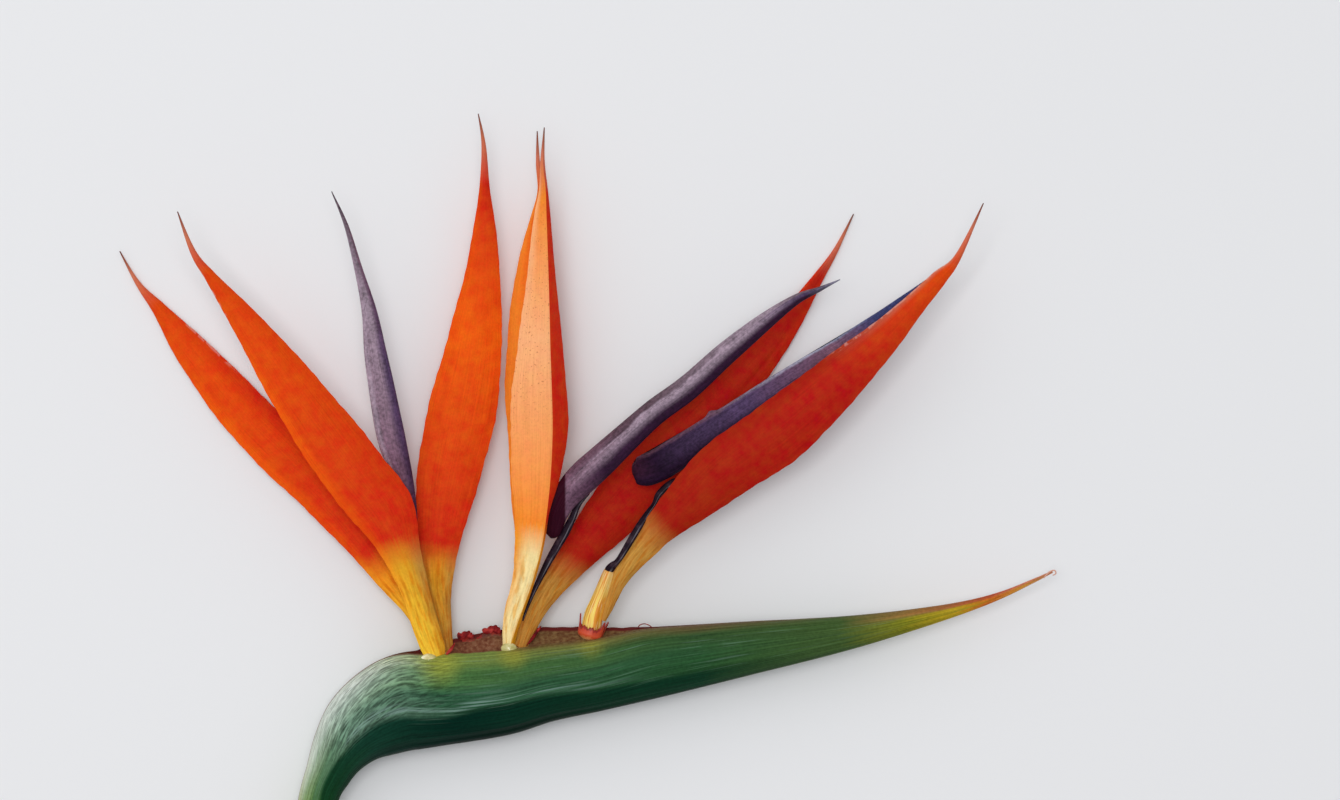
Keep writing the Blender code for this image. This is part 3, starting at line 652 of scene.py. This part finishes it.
def cup_finish():
    finish, tree, shader, u, v, place = new_finish("bracteole_torn_cup", 0.4, 0.3)
    patches = noise(tree, place, 700.0)
    both_ways = calc(tree, 'ABSOLUTE', calc(tree, 'MULTIPLY_ADD', v, 2.0, -1.0))
    height = calc(tree, 'SUBTRACT', 1.0, both_ways)
    base = ramp(tree, calc(tree, 'MULTIPLY_ADD', patches, 0.3, height),
                (0.16, (246, 206, 140)), (0.32, (236, 146, 90)), (0.48, (212, 84, 48)),
                (0.9, (196, 66, 42)), (1.0, (150, 40, 30)))
    tree.links.new(base, shader.inputs["Base Color"])
    bump(tree, shader, patches, 0.0002)
    return finish


finish_piece(make_cup(), cup_finish(), "bract_brown", "bracteole_right")


# ---- Sepals -------------------------------------------------------------------------------
# Seven stiff, fleshy, boat-shaped sepals, thick along the middle and thin at the margins, each
# drawn out into a dry brown thread. They are orange to red above and cream to yellow at the
# base. The near one of the middle floret is folded along its keel.
# Across each sepal, lighter and darker parts are partly painted light from the left and painted shade.

# x, y, z, width left of the ridge, width right of it
SEPALS = {
    "left_low": [
        (-34.2, 44.7, 7.6, 1.2, 1.2), (-38.3, 53.6, 7.2, 2.2, 2.2), (-43.7, 61.0, 6.4, 3.2, 3.2),
        (-51.5, 71.7, 5.2, 4.7, 4.7), (-59.9, 81.6, 4.2, 5.8, 5.8), (-68.6, 90.2, 3.6, 6.1, 6.1),
        (-76.1, 97.5, 3.2, 5.6, 5.6), (-82.5, 104.9, 2.8, 5.0, 5.0), (-89.4, 113.1, 2.3, 3.7, 3.7),
        (-95.9, 121.5, 1.7, 1.7, 1.7), (-100.8, 127.4, 1.2, 0.6, 0.6),
        (-105.0, 134.8, 0.95, 0.12, 0.12)],
    "left_near": [
        (-33.6, 42.9, 12.9, 1.6, 1.6), (-34.0, 45.0, 13.1, 2.6, 2.6), (-36.1, 51.2, 13.2, 3.0, 3.0),
        (-38.1, 58.1, 13.6, 3.1, 3.1), (-41.0, 66.4, 14.6, 4.3, 4.3), (-45.0, 76.1, 16.0, 6.8, 6.8),
        (-51.2, 84.2, 17.4, 7.2, 7.2), (-58.0, 93.4, 18.6, 6.8, 6.8), (-65.0, 103.1, 19.6, 5.8, 5.8),
        (-71.6, 112.5, 20.4, 4.4, 4.4), (-78.0, 121.2, 21.0, 2.8, 2.8), (-83.7, 128.6, 21.4, 1.4, 1.4),
        (-87.7, 134.2, 21.6, 0.7, 0.7), (-91.3, 143.5, 21.8, 0.12, 0.12)],
    "left_tall": [
        (-31.0, 43.5, 7.6, 1.4, 1.4), (-31.9, 51.0, 7.7, 1.9, 1.9), (-33.0, 57.9, 7.9, 2.9, 2.9),
        (-33.2, 66.0, 8.2, 4.3, 4.3), (-32.3, 75.3, 8.6, 5.9, 5.9), (-30.5, 85.7, 9.0, 7.2, 7.2),
        (-28.1, 96.8, 9.4, 7.7, 7.7), (-26.0, 107.2, 9.8, 7.0, 7.0), (-24.4, 117.8, 10.2, 5.7, 5.7),
        (-23.2, 128.0, 10.6, 4.2, 4.2), (-22.6, 139.3, 11.0, 2.6, 2.6), (-22.6, 149.0, 11.4, 1.2, 1.2),
        (-22.8, 158.6, 11.8, 0.5, 0.5), (-24.0, 165.6, 12.2, 0.12, 0.12)],
    "middle_near": [
        (-16.8, 44.8, 11.9, 1.3, 0.7), (-16.6, 46.6, 12.3, 2.0, 0.8), (-14.7, 52.4, 12.9, 3.7, 0.6),
        (-11.8, 60.5, 14.3, 4.6, 0.5), (-9.7, 68.5, 16.0, 6.2, 0.5), (-8.5, 76.3, 16.9, 7.4, 0.6),
        (-7.7, 84.5, 17.4, 8.8, 2.2), (-7.3, 94.5, 17.8, 9.4, 3.5), (-7.5, 104.6, 18.2, 8.8, 3.3),
        (-7.8, 113.5, 18.6, 7.3, 2.8), (-8.0, 123.6, 18.9, 5.7, 2.0), (-8.3, 133.6, 19.1, 4.2, 1.3),
        (-8.6, 142.6, 19.3, 2.8, 0.9), (-8.8, 148.6, 19.4, 1.5, 0.5), (-9.4, 154.9, 19.4, 0.6, 0.4),
        (-9.1, 162.4, 19.2, 0.12, 0.12)],
    "middle_far": [
        (-17.0, 46.4, 7.6, 1.2, 1.4), (-16.2, 54.9, 7.6, 1.4, 1.7), (-14.2, 60.5, 7.6, 1.7, 1.8),
        (-12.6, 67.8, 7.6, 2.8, 3.1), (-12.2, 76.7, 7.6, 4.3, 4.3), (-11.9, 84.3, 7.6, 5.0, 5.0),
        (-12.0, 94.3, 7.6, 5.5, 5.5), (-12.4, 104.6, 7.6, 5.7, 5.7), (-12.3, 113.6, 7.6, 5.3, 5.3),
        (-12.0, 123.8, 7.4, 4.6, 4.6), (-11.5, 133.0, 7.2, 3.4, 3.4), (-10.7, 141.3, 7.0, 1.9, 1.9),
        (-9.9, 148.1, 6.8, 0.9, 0.9), (-10.6, 154.4, 6.6, 0.5, 0.5), (-10.8, 161.8, 6.4, 0.12, 0.12)],
    "middle_low": [
        (-14.2, 45.4, 10.0, 2.1, 1.0), (-10.9, 53.1, 8.6, 2.8, 1.7), (-7.4, 59.2, 6.9, 3.1, 2.7),
        (-2.8, 65.1, 6.1, 3.8, 3.8), (3.4, 72.7, 5.5, 5.6, 5.6), (10.6, 80.7, 5.0, 6.6, 6.6),
        (19.4, 89.3, 4.6, 6.9, 6.9), (27.6, 97.9, 4.2, 6.4, 6.4), (35.2, 106.3, 3.7, 5.0, 5.0),
        (42.0, 114.0, 3.1, 3.7, 3.7), (47.7, 121.5, 2.4, 2.4, 2.4), (52.3, 128.5, 1.8, 1.3, 1.3),
        (56.4, 134.9, 1.2, 0.6, 0.6), (60.5, 143.2, 0.95, 0.12, 0.12)],
    "right_low": [
        (4.1, 51.6, 11.0, 0.9, 0.5), (5.0, 54.0, 11.3, 1.4, 1.0), (6.2, 57.0, 11.6, 1.8, 1.3),
        (7.5, 60.2, 12.2, 2.0, 1.7), (10.0, 64.2, 13.1, 2.4, 2.3), (13.4, 68.4, 13.8, 3.1, 3.0),
        (17.3, 72.3, 14.4, 4.3, 3.3), (24.1, 78.5, 15.4, 6.2, 4.9),
        (32.3, 86.3, 16.4, 6.9, 6.9), (42.3, 93.5, 17.4, 6.9, 7.5), (51.1, 100.7, 18.2, 6.4, 6.7),
        (59.4, 108.2, 18.8, 5.3, 5.3), (66.8, 115.1, 19.2, 4.0, 4.0), (73.5, 122.2, 19.4, 2.6, 2.6),
        (79.5, 128.6, 19.6, 1.8, 1.8), (83.7, 133.4, 19.8, 0.8, 0.8), (89.4, 145.4, 20.2, 0.12, 0.12)],
}


def make_sepal(name, stations, drop_left=0.2, drop_right=0.2, bend_left=1.6, bend_right=1.6,
               relief=None):
    """A sepal: thick along its ridge, arched down to a thin margin on each side."""
    piece, u, v = new_sheet("sepal_blade_" + name, 64, 220)
    rows, heading = follow(stations, v)
    side = sideways(heading)
    turn = 2 * np.pi * u
    out = -np.cos(turn)
    wide = np.where(out < 0.0, rows[:, 3], rows[:, 4])
    drop = np.where(out < 0.0, drop_left * np.abs(out) ** bend_left,
                    drop_right * np.abs(out) ** bend_right)
    thick = np.minimum(0.9, 0.55 * (rows[:, 3] + rows[:, 4]))
    lift = 0.5 * thick * (np.sign(np.sin(turn)) * np.abs(np.sin(turn)) ** 1.6 - 1.0)
    hand = 2.0 * np.sign(out)
    wave = np.sin(40 * v + hand) + 0.5 * np.sin(131 * v + 3 * hand) + 0.5 * np.sin(223 * v + hand)
    wave = 0.012 * wide * wave * np.abs(out) ** 4
    height = lift - drop * wide
    if relief is not None:
        height = height + relief(out, v)
    points = rows[:, :3] + (out * wide + wave)[:, None] * side
    points[:, 2] += height
    points[:, 2] = np.maximum(points[:, 2], 0.02)
    return shape(piece, points)


def sepal_finish(name, left, middle, right, spread=(0.02, 0.30, 0.55, 0.95), mottle=0.25,
                 speckle=0.0, scuffs=None):
    """Colours along the left margin, the middle and the right margin, blended across; partly painted light
    and shade.
    """
    finish, tree, shader, u, v, place = new_finish("sepal_" + name + "_flesh", 0.5, 0.03)
    angle = calc(tree, 'COSINE', calc(tree, 'MULTIPLY', u, 2 * np.pi))
    across = calc(tree, 'MULTIPLY_ADD', angle, -0.5, 0.5)
    veins = grain(tree, across, v, 60.0, 5.0)
    fine = grain(tree, across, v, 130.0, 14.0)
    patches = noise(tree, place, 260.0, 5.0)
    wander = calc(tree, 'MULTIPLY_ADD', calc(tree, 'SUBTRACT', veins, 0.5), 0.045, v)
    drift = calc(tree, 'MULTIPLY_ADD', calc(tree, 'SUBTRACT', patches, 0.5), 0.06, across)
    base = mix(tree, fade(tree, drift, spread[0], spread[1]), ramp(tree, wander, *left),
               ramp(tree, wander, *middle))
    base = mix(tree, fade(tree, drift if spread[3] - spread[2] > 0.1 else across, spread[2],
                          spread[3]), base, ramp(tree, wander, *right))
    # Mottling: redder and yellower patches, fine veins, a skin grain and pinprick specks.
    redder = fade(tree, patches, 0.40, 0.72)
    base = mix(tree, calc(tree, 'MULTIPLY', redder, mottle), base, colour(236, 190, 160),
               'MULTIPLY')
    warm = noise(tree, place, 420.0, 4.0)
    turn = calc(tree, 'MULTIPLY_ADD', calc(tree, 'SUBTRACT', warm, 0.5), 0.020, 0.5)
    base = add_node(tree, "HueSaturation", {"Hue": turn, "Color": base}).outputs[0]
    skin = noise(tree, place, 1900.0, 2.0)
    swirl = calc(tree, 'MULTIPLY', fade(tree, grain(tree, across, v, 7.0, 20.0), 0.46, 0.62),
                 fade(tree, v, 0.23, 0.15))
    base = mix(tree, calc(tree, 'MULTIPLY', swirl, 0.7), base, colour(242, 198, 128), 'MULTIPLY')
    cream = calc(tree, 'SUBTRACT', grain(tree, across, v, 12.0, 26.0), 0.5)
    cream = calc(tree, 'MULTIPLY_ADD', cream, fade(tree, v, 0.22, 0.14), 0.5)
    base = lighten(tree, base, (veins, 0.36), (fine, 0.26), (skin, 0.24), (cream, 0.8))
    if speckle:
        dots = noise(tree, place, 2300.0, 0.0)
        here = calc(tree, 'MULTIPLY', fade(tree, dots, 0.70, 0.78), fade(tree, v, 0.36, 0.56))
        here = calc(tree, 'MULTIPLY', here, fade(tree, v, 0.90, 0.76))
        base = mix(tree, calc(tree, 'MULTIPLY', here, speckle), base, colour(168, 74, 34))
    if scuffs:
        # Pale scuffs on one margin: edge 0 is the left one and edge 1 the right one.
        edge, low, high = scuffs
        on_edge = fade(tree, across, 0.09, 0.03) if edge == 0 else fade(tree, across, 0.91, 0.97)
        here = calc(tree, 'MULTIPLY', fade(tree, v, low, low + 0.05),
                    fade(tree, v, high, high - 0.05))
        here = calc(tree, 'MULTIPLY', here, calc(tree, 'MULTIPLY', on_edge,
                                                 fade(tree, noise(tree, place, 600.0), 0.46, 0.56)))
        base = mix(tree, calc(tree, 'MULTIPLY', here, 0.32), base, colour(236, 196, 184))
    tree.links.new(base, shader.inputs["Base Color"])
    bump(tree, shader, calc(tree, 'ADD', veins, skin), 0.00010)
    return finish


# The sepals' colours, from the pale foot through the blade to the dry thread at the tip.
CREAM = (250, 225, 160)
YELLOW = (250, 205, 60)
GOLD = (230, 165, 40)
OCHRE = (200, 145, 65)
AMBER = (245, 155, 35)
TANGERINE = (250, 140, 45)
PEACH = (255, 180, 125)
ORANGE = (245, 95, 15)
FLAME = (230, 75, 15)
SCARLET = (215, 50, 20)
CRIMSON = (185, 35, 20)
DARK_RED = (165, 35, 15)
DRY_PINK = (220, 125, 95)
THREAD = (110, 65, 55)


def along_sepal(start, foot, throat, blade, shoulder, tip):
    """Foot and throat, the blade's colour from just past its start, and the dry thread."""
    return [(0.0, foot), (start, throat), (start + 0.06, blade), (0.6, shoulder), (0.87, tip),
            (0.95, DRY_PINK), (1.0, THREAD)]


# These two are lighter orange on the left, darker red to the right: partly own colour, partly painted light
# and shade.
finish_piece(make_sepal("left_low", SEPALS["left_low"], 0.22, 0.30),
             sepal_finish("left_low", scuffs=(1, 0.66, 0.84),
                          left=along_sepal(0.18, YELLOW, AMBER, FLAME, ORANGE, FLAME),
                          middle=along_sepal(0.17, YELLOW, AMBER, SCARLET, FLAME, FLAME),
                          right=along_sepal(0.16, GOLD, GOLD, SCARLET, SCARLET, FLAME)),
             "sepal_red", "sepal_left_low")
finish_piece(make_sepal("left_near", SEPALS["left_near"], 0.16, 0.32),
             sepal_finish("left_near", spread=(0.02, 0.24, 0.5, 0.95), scuffs=(0, 0.76, 0.92),
                          left=along_sepal(0.19, YELLOW, AMBER, FLAME, ORANGE, FLAME),
                          middle=along_sepal(0.19, YELLOW, GOLD, SCARLET, FLAME, FLAME),
                          right=along_sepal(0.18, GOLD, OCHRE, SCARLET, FLAME, FLAME)),
             "sepal_red", "sepal_left_near")
finish_piece(make_sepal("left_tall", SEPALS["left_tall"], 0.16, 0.16),
             sepal_finish("left_tall", mottle=0.45, spread=(0.0, 0.40, 0.50, 1.0),
                          left=along_sepal(0.15, OCHRE, OCHRE, SCARLET, ORANGE, FLAME),
                          middle=along_sepal(0.15, OCHRE, GOLD, SCARLET, ORANGE, SCARLET),
                          right=along_sepal(0.15, OCHRE, OCHRE, SCARLET, ORANGE, SCARLET)),
             "sepal_red", "sepal_left_tall")
# Beside its keel, the pale peach left flank is partly painted light and sheen; the scarlet right flank is
# painted shade.
finish_piece(make_sepal("middle_near", SEPALS["middle_near"], 0.13, 0.95, 1.7, 1.05),
             sepal_finish("middle_near", spread=(0.0, 0.26, 0.497, 0.515), mottle=0.08,
                          speckle=0.5,
                          left=along_sepal(0.20, CREAM, AMBER, TANGERINE, PEACH, PEACH),
                          middle=along_sepal(0.19, CREAM, CREAM, TANGERINE, PEACH, TANGERINE),
                          right=along_sepal(0.20, GOLD, AMBER, SCARLET, SCARLET, SCARLET)),
             "sepal_orange", "sepal_middle_near")
# Its tangerine left part is partly painted light shining through it; its scarlet right part is painted
# shade from the near sepal.
finish_piece(make_sepal("middle_far", SEPALS["middle_far"], 0.3, 0.2),
             sepal_finish("middle_far", mottle=0.15,
                          left=along_sepal(0.20, GOLD, AMBER, TANGERINE, TANGERINE, TANGERINE),
                          middle=along_sepal(0.20, GOLD, AMBER, TANGERINE, TANGERINE, ORANGE),
                          right=along_sepal(0.15, OCHRE, FLAME, SCARLET, SCARLET, SCARLET)),
             "sepal_orange", "sepal_middle_far")


def low_fold(out, v):
    """The fold line beside the right margin, near the tip."""
    return -0.35 * hump(out, 0.42, 0.09) * hump(v, 0.62, 0.13, 4)


# This sepal and the next face away from the light: their deep reds are partly own colour and partly painted
# shade.
finish_piece(make_sepal("middle_low", SEPALS["middle_low"], 0.15, 0.22, relief=low_fold),
             sepal_finish("middle_low", spread=(0.0, 0.4, 0.55, 1.0),
                          left=along_sepal(0.13, OCHRE, OCHRE, CRIMSON, DARK_RED, SCARLET),
                          middle=along_sepal(0.14, OCHRE, OCHRE, CRIMSON, CRIMSON, CRIMSON),
                          right=along_sepal(0.14, OCHRE, OCHRE, DARK_RED, CRIMSON, SCARLET)),
             "sepal_red", "sepal_middle_low")
finish_piece(make_sepal("right_low", SEPALS["right_low"], 0.16, 0.24),
             sepal_finish("right_low", spread=(0.0, 0.30, 0.55, 1.0), scuffs=(0, 0.60, 0.95),
                          left=along_sepal(0.15, OCHRE, OCHRE, DARK_RED, DARK_RED, DRY_PINK),
                          middle=along_sepal(0.15, OCHRE, OCHRE, DARK_RED, CRIMSON, FLAME),
                          right=along_sepal(0.15, OCHRE, OCHRE, DARK_RED, CRIMSON, FLAME)),
             "sepal_red", "sepal_right_low")


# ---- Arrows -------------------------------------------------------------------------------
# The blue arrow of each floret: two petals joined into a rolled blade with a groove along it,
# on a thin dark claw. They are lilac-grey with bloom where they have dried, and a pale painted
# highlight along their upper left. The dark indigo of their lower right is partly their fresh
# colour and partly painted shade.

ARROWS = {
    "left": [
        (-38.3, 70.5, 10.4, 1.2, 1.1), (-38.6, 74.5, 10.6, 1.8, 1.4), (-39.6, 78.8, 11.0, 3.2, 2.2),
        (-41.5, 85.7, 11.8, 5.0, 3.2), (-43.5, 92.5, 12.6, 6.3, 3.4), (-45.2, 101.3, 13.4, 6.1, 3.4),
        (-47.0, 111.4, 14.2, 5.1, 3.2), (-48.5, 121.4, 14.8, 3.4, 2.6), (-50.8, 130.4, 15.2, 1.9, 1.7),
        (-53.6, 140.4, 15.5, 1.0, 1.0), (-56.9, 148.1, 15.6, 0.2, 0.2)],
    "middle": [
        (-7.6, 70.2, 12.6, 0.5, 0.5), (-7.3, 71.2, 12.8, 3.2, 2.0), (-6.9, 73.3, 13.0, 4.2, 2.6),
        (-6.1, 76.4, 13.4, 5.3, 3.2), (-4.0, 80.0, 13.8, 6.3, 3.8), (-0.6, 83.6, 14.1, 7.3, 4.4),
        (3.6, 87.5, 14.2, 7.1, 4.6), (8.9, 92.4, 14.3, 6.5, 4.6), (15.4, 98.3, 14.4, 5.9, 4.6),
        (23.0, 103.9, 14.6, 5.7, 4.6), (31.8, 111.8, 14.8, 5.2, 4.2), (40.1, 118.6, 15.0, 4.0, 3.2),
        (47.2, 123.7, 15.2, 2.4, 2.2), (52.8, 126.2, 15.3, 1.1, 1.1), (57.3, 128.3, 15.4, 0.2, 0.2)],
    "right": [
        (10.6, 84.9, 9.6, 0.8, 0.8), (11.1, 85.0, 9.6, 4.2, 2.8), (12.5, 85.2, 9.6, 6.6, 3.6),
        (15.8, 86.3, 9.8, 7.4, 4.2), (22.8, 90.5, 10.4, 7.2, 4.4), (34.8, 98.7, 11.6, 5.8, 4.2),
        (46.8, 106.4, 12.6, 5.4, 4.0), (57.1, 112.9, 13.4, 4.5, 3.4), (66.3, 119.3, 14.2, 3.6, 2.8),
        (74.3, 125.3, 14.8, 2.4, 2.0), (78.9, 129.8, 15.2, 0.3, 0.3)],
}
CLAWS = {
    "left": [(-33.2, 44.3, 9.3, 1.0, 0.9), (-35.0, 55.0, 9.5, 1.0, 0.9), (-37.3, 65.3, 10.0, 1.0, 1.0),
             (-38.3, 74.5, 10.6, 1.1, 1.1)],
    "middle": [(-14.0, 51.6, 10.6, 0.3, 0.4), (-13.5, 53.3, 11.0, 0.6, 0.7), (-11.9, 57.4, 11.4, 1.0, 1.0),
               (-10.3, 60.8, 11.6, 1.3, 1.2), (-8.3, 64.8, 11.8, 1.7, 1.3), (-6.5, 68.0, 12.0, 1.9, 1.4),
               (-4.5, 71.4, 12.3, 2.0, 1.5), (-3.0, 74.4, 12.7, 1.7, 1.6), (-1.4, 77.8, 13.2, 1.2, 1.4),
               (0.8, 80.4, 13.4, 0.8, 1.0)],
    "right": [(4.9, 62.0, 11.2, 0.9, 0.9), (5.4, 63.0, 11.5, 2.0, 1.6), (6.2, 64.0, 12.0, 1.8, 1.5),
              (7.2, 64.9, 12.6, 1.3, 1.2), (8.4, 66.6, 13.0, 1.4, 1.2), (10.3, 69.8, 13.5, 1.6, 1.3),
              (12.1, 72.8, 13.5, 1.6, 1.3), (13.9, 75.6, 12.4, 1.3, 1.1), (15.5, 77.8, 10.8, 1.1, 1.0),
              (16.4, 79.8, 10.0, 1.4, 1.2), (17.8, 81.3, 9.8, 1.6, 1.4), (19.2, 82.5, 9.8, 1.5, 1.4),
              (20.3, 83.4, 9.6, 0.8, 0.8)],
}


def rolled(groove, depth, lumps, seed, knot=0.0):
    """Relief of a rolled blade: a groove, lumps, and a small knot on its left edge."""
    def relief(u, v):
        line = np.exp(-((u - groove) / 0.022) ** 2) * np.exp(-((v - 0.42) / 0.36) ** 4)
        bumps = np.sin(37 * v + seed) + np.sin(61 * v + 5 * u + 2 * seed)
        swelling = np.exp((np.cos(2 * np.pi * u) - 1.0) / 0.12) * np.exp(-((v - 0.351) / 0.009) ** 2)
        return 1.0 - depth * line + lumps * bumps * 0.5 + knot * swelling
    return relief


def arrow_finish(name, left, middle, right, spread, shadow_edge_x=None):
    """Colours along the left edge, the middle and the right edge, blended across."""
    finish, tree, shader, u, v, place = new_finish("arrow_" + name + "_violet", 0.55, 0.06)
    angle = calc(tree, 'COSINE', calc(tree, 'MULTIPLY', u, 2 * np.pi))
    across = calc(tree, 'MULTIPLY_ADD', angle, -0.5, 0.5)
    fibres = grain(tree, across, v, 34.0, 9.0)
    patches = noise(tree, place, 260.0, 4.0)
    drift = calc(tree, 'MULTIPLY_ADD', calc(tree, 'SUBTRACT', patches, 0.5), 0.12, across)
    base = mix(tree, fade(tree, drift, spread[0], spread[1]), ramp(tree, v, *left),
               ramp(tree, v, *middle))
    base = mix(tree, fade(tree, drift, spread[2], spread[3]), base, ramp(tree, v, *right))
    base = lighten(tree, base, (fibres, 1.0), (patches, 0.9), (noise(tree, place, 1500.0, 2.0), 1.5))
    if shadow_edge_x is not None:
        # Painted shadow that the sepal in front casts on the arrow's foot.
        sideways_place = add_node(tree, "SeparateXYZ", {0: place}).outputs[0]
        foot = fade(tree, sideways_place, (shadow_edge_x + 0.25) * MM, (shadow_edge_x - 0.25) * MM)
        base = mix(tree, foot, base, mix(tree, fibres, colour(30, 0, 16), colour(66, 10, 34)))
    tree.links.new(base, shader.inputs["Base Color"])
    bump(tree, shader, calc(tree, 'ADD', fibres, patches), 0.00025)
    return finish


def claw_finish():
    finish, tree, shader, u, v, place = new_finish("claw_dark", 0.45, 0.08)
    patches = noise(tree, place, 600.0)
    base = ramp(tree, patches, (0.35, (22, 8, 20)), (0.55, (34, 18, 32)), (0.7, (62, 44, 52)))
    # A painted highlight along one side of the claw, broken by streaks.
    line = calc(tree, 'MULTIPLY', fade(tree, u, 0.27, 0.30), fade(tree, u, 0.36, 0.33))
    line = calc(tree, 'MULTIPLY', line, fade(tree, grain(tree, u, v, 30.0, 12.0), 0.40, 0.62))
    base = mix(tree, calc(tree, 'MULTIPLY', line, 0.6), base, colour(132, 128, 136))
    tree.links.new(base, shader.inputs["Base Color"])
    bump(tree, shader, patches, 0.0002)
    return finish


# The arrows' colours: dark where fresh and partly painted shade, lilac-grey with a pale bloom where dried
# and partly painted highlight.
WINE = (70, 30, 50)
MAUVE = (120, 85, 105)
LILAC = (160, 140, 155)
SMOKE = (90, 70, 80)
PLUM = (50, 25, 50)
DUSK = (85, 65, 100)
INK = (35, 15, 40)
INDIGO = (60, 65, 110)
BLOOM_AND_SHEEN = (165, 165, 185)

dark_claw = claw_finish()
arrow_left = make_rod("arrow_blade_left", ARROWS["left"], 64, 180, rolled(0.14, 0.10, 0.012, 1.0))
finish_piece(arrow_left,
             arrow_finish("left", spread=(0.05, 0.28, 0.52, 0.90),
                          left=[(0.0, MAUVE), (0.4, LILAC), (0.8, LILAC), (1.0, SMOKE)],
                          middle=[(0.0, WINE), (0.3, MAUVE), (0.6, LILAC), (1.0, SMOKE)],
                          right=[(0.0, WINE), (0.5, DUSK), (0.7, MAUVE), (1.0, SMOKE)]),
             "arrow_violet", "arrow_left")
finish_piece(make_rod("arrow_claw_left", CLAWS["left"], 24, 60), dark_claw, "arrow_violet")

arrow_middle = make_rod("arrow_blade_middle", ARROWS["middle"], 72, 200,
                        rolled(0.17, 0.20, 0.012, 2.0))
finish_piece(arrow_middle,
             arrow_finish("middle", shadow_edge_x=-4.4, spread=(0.19, 0.25, 0.34, 0.76),
                          left=[(0.0, WINE), (0.2, MAUVE), (0.45, SMOKE), (0.7, LILAC),
                                (0.85, SMOKE), (1.0, BLOOM_AND_SHEEN)],
                          middle=[(0.0, WINE), (0.2, MAUVE), (0.42, LILAC), (0.65, LILAC),
                                  (0.8, DUSK), (1.0, BLOOM_AND_SHEEN)],
                          right=[(0.0, WINE), (0.18, MAUVE), (0.32, PLUM), (0.8, PLUM),
                                 (1.0, BLOOM_AND_SHEEN)]),
             "arrow_violet", "arrow_middle")
finish_piece(make_rod("arrow_claw_middle", CLAWS["middle"], 32, 90), dark_claw, "arrow_violet")

arrow_right = make_rod("arrow_blade_right", ARROWS["right"], 72, 200,
                       rolled(0.13, 0.08, 0.022, 3.0, 0.24))
finish_piece(arrow_right,
             arrow_finish("right", spread=(0.03, 0.14, 0.50, 0.95),
                          left=[(0.0, WINE), (0.35, MAUVE), (0.55, BLOOM_AND_SHEEN), (0.7, INDIGO)],
                          middle=[(0.0, WINE), (0.18, INK), (0.42, DUSK), (0.6, MAUVE),
                                  (0.7, INDIGO)],
                          right=[(0.0, INK), (0.35, INK), (0.6, INDIGO)]),
             "arrow_violet", "arrow_right")
finish_piece(make_rod("arrow_claw_right", CLAWS["right"], 32, 90), dark_claw, "arrow_violet")


# ---- Table, light and camera --------------------------------------------------------------
# A plain pale table, a broad soft light from the upper left, a smaller one from above, and
# the camera straight above the flower head.

bpy.ops.object.select_all(action='DESELECT')
bpy.ops.mesh.primitive_plane_add(size=4.0, location=(0.0, 0.0, 0.0))
table = bpy.context.object
table.name = "table_top"
paper, tree, shader, u, v, place = new_finish("table_pale", 0.7, 0.2)
shader.inputs["Base Color"].default_value = (0.84, 0.84, 0.85, 1.0)
table.data.materials.append(paper)


def add_light(name, place, aim, size, power):
    bpy.ops.object.light_add(type='AREA', location=place)
    lamp = bpy.context.object
    lamp.name = name
    lamp.data.size = size
    lamp.data.energy = power
    away = lamp.location - Vector(aim)
    lamp.rotation_euler = away.to_track_quat('Z', 'Y').to_euler()


FLOWER_HEAD = (0.0, 0.09, 0.0)
add_light("key_light", (-0.95, 0.80, 1.25), FLOWER_HEAD, 2.2, 9.5)
add_light("top_light", (-0.15, 0.20, 2.2), FLOWER_HEAD, 0.9, 17.5)

world = bpy.data.worlds.new("studio")
world.use_nodes = True
world.node_tree.nodes["Background"].inputs[0].default_value = (0.95, 0.97, 1.0, 1.0)
world.node_tree.nodes["Background"].inputs[1].default_value = 0.46
bpy.context.scene.world = world
bpy.context.scene.view_settings.view_transform = 'Standard'

bpy.ops.object.camera_add(location=(0.0191, 0.10125, 3.359), rotation=(0.0, 0.0, 0.0))
camera = bpy.context.object
camera.data.lens = 400.0
camera.data.sensor_width = 36.0
camera.data.clip_end = 20.0
bpy.context.scene.camera = camera
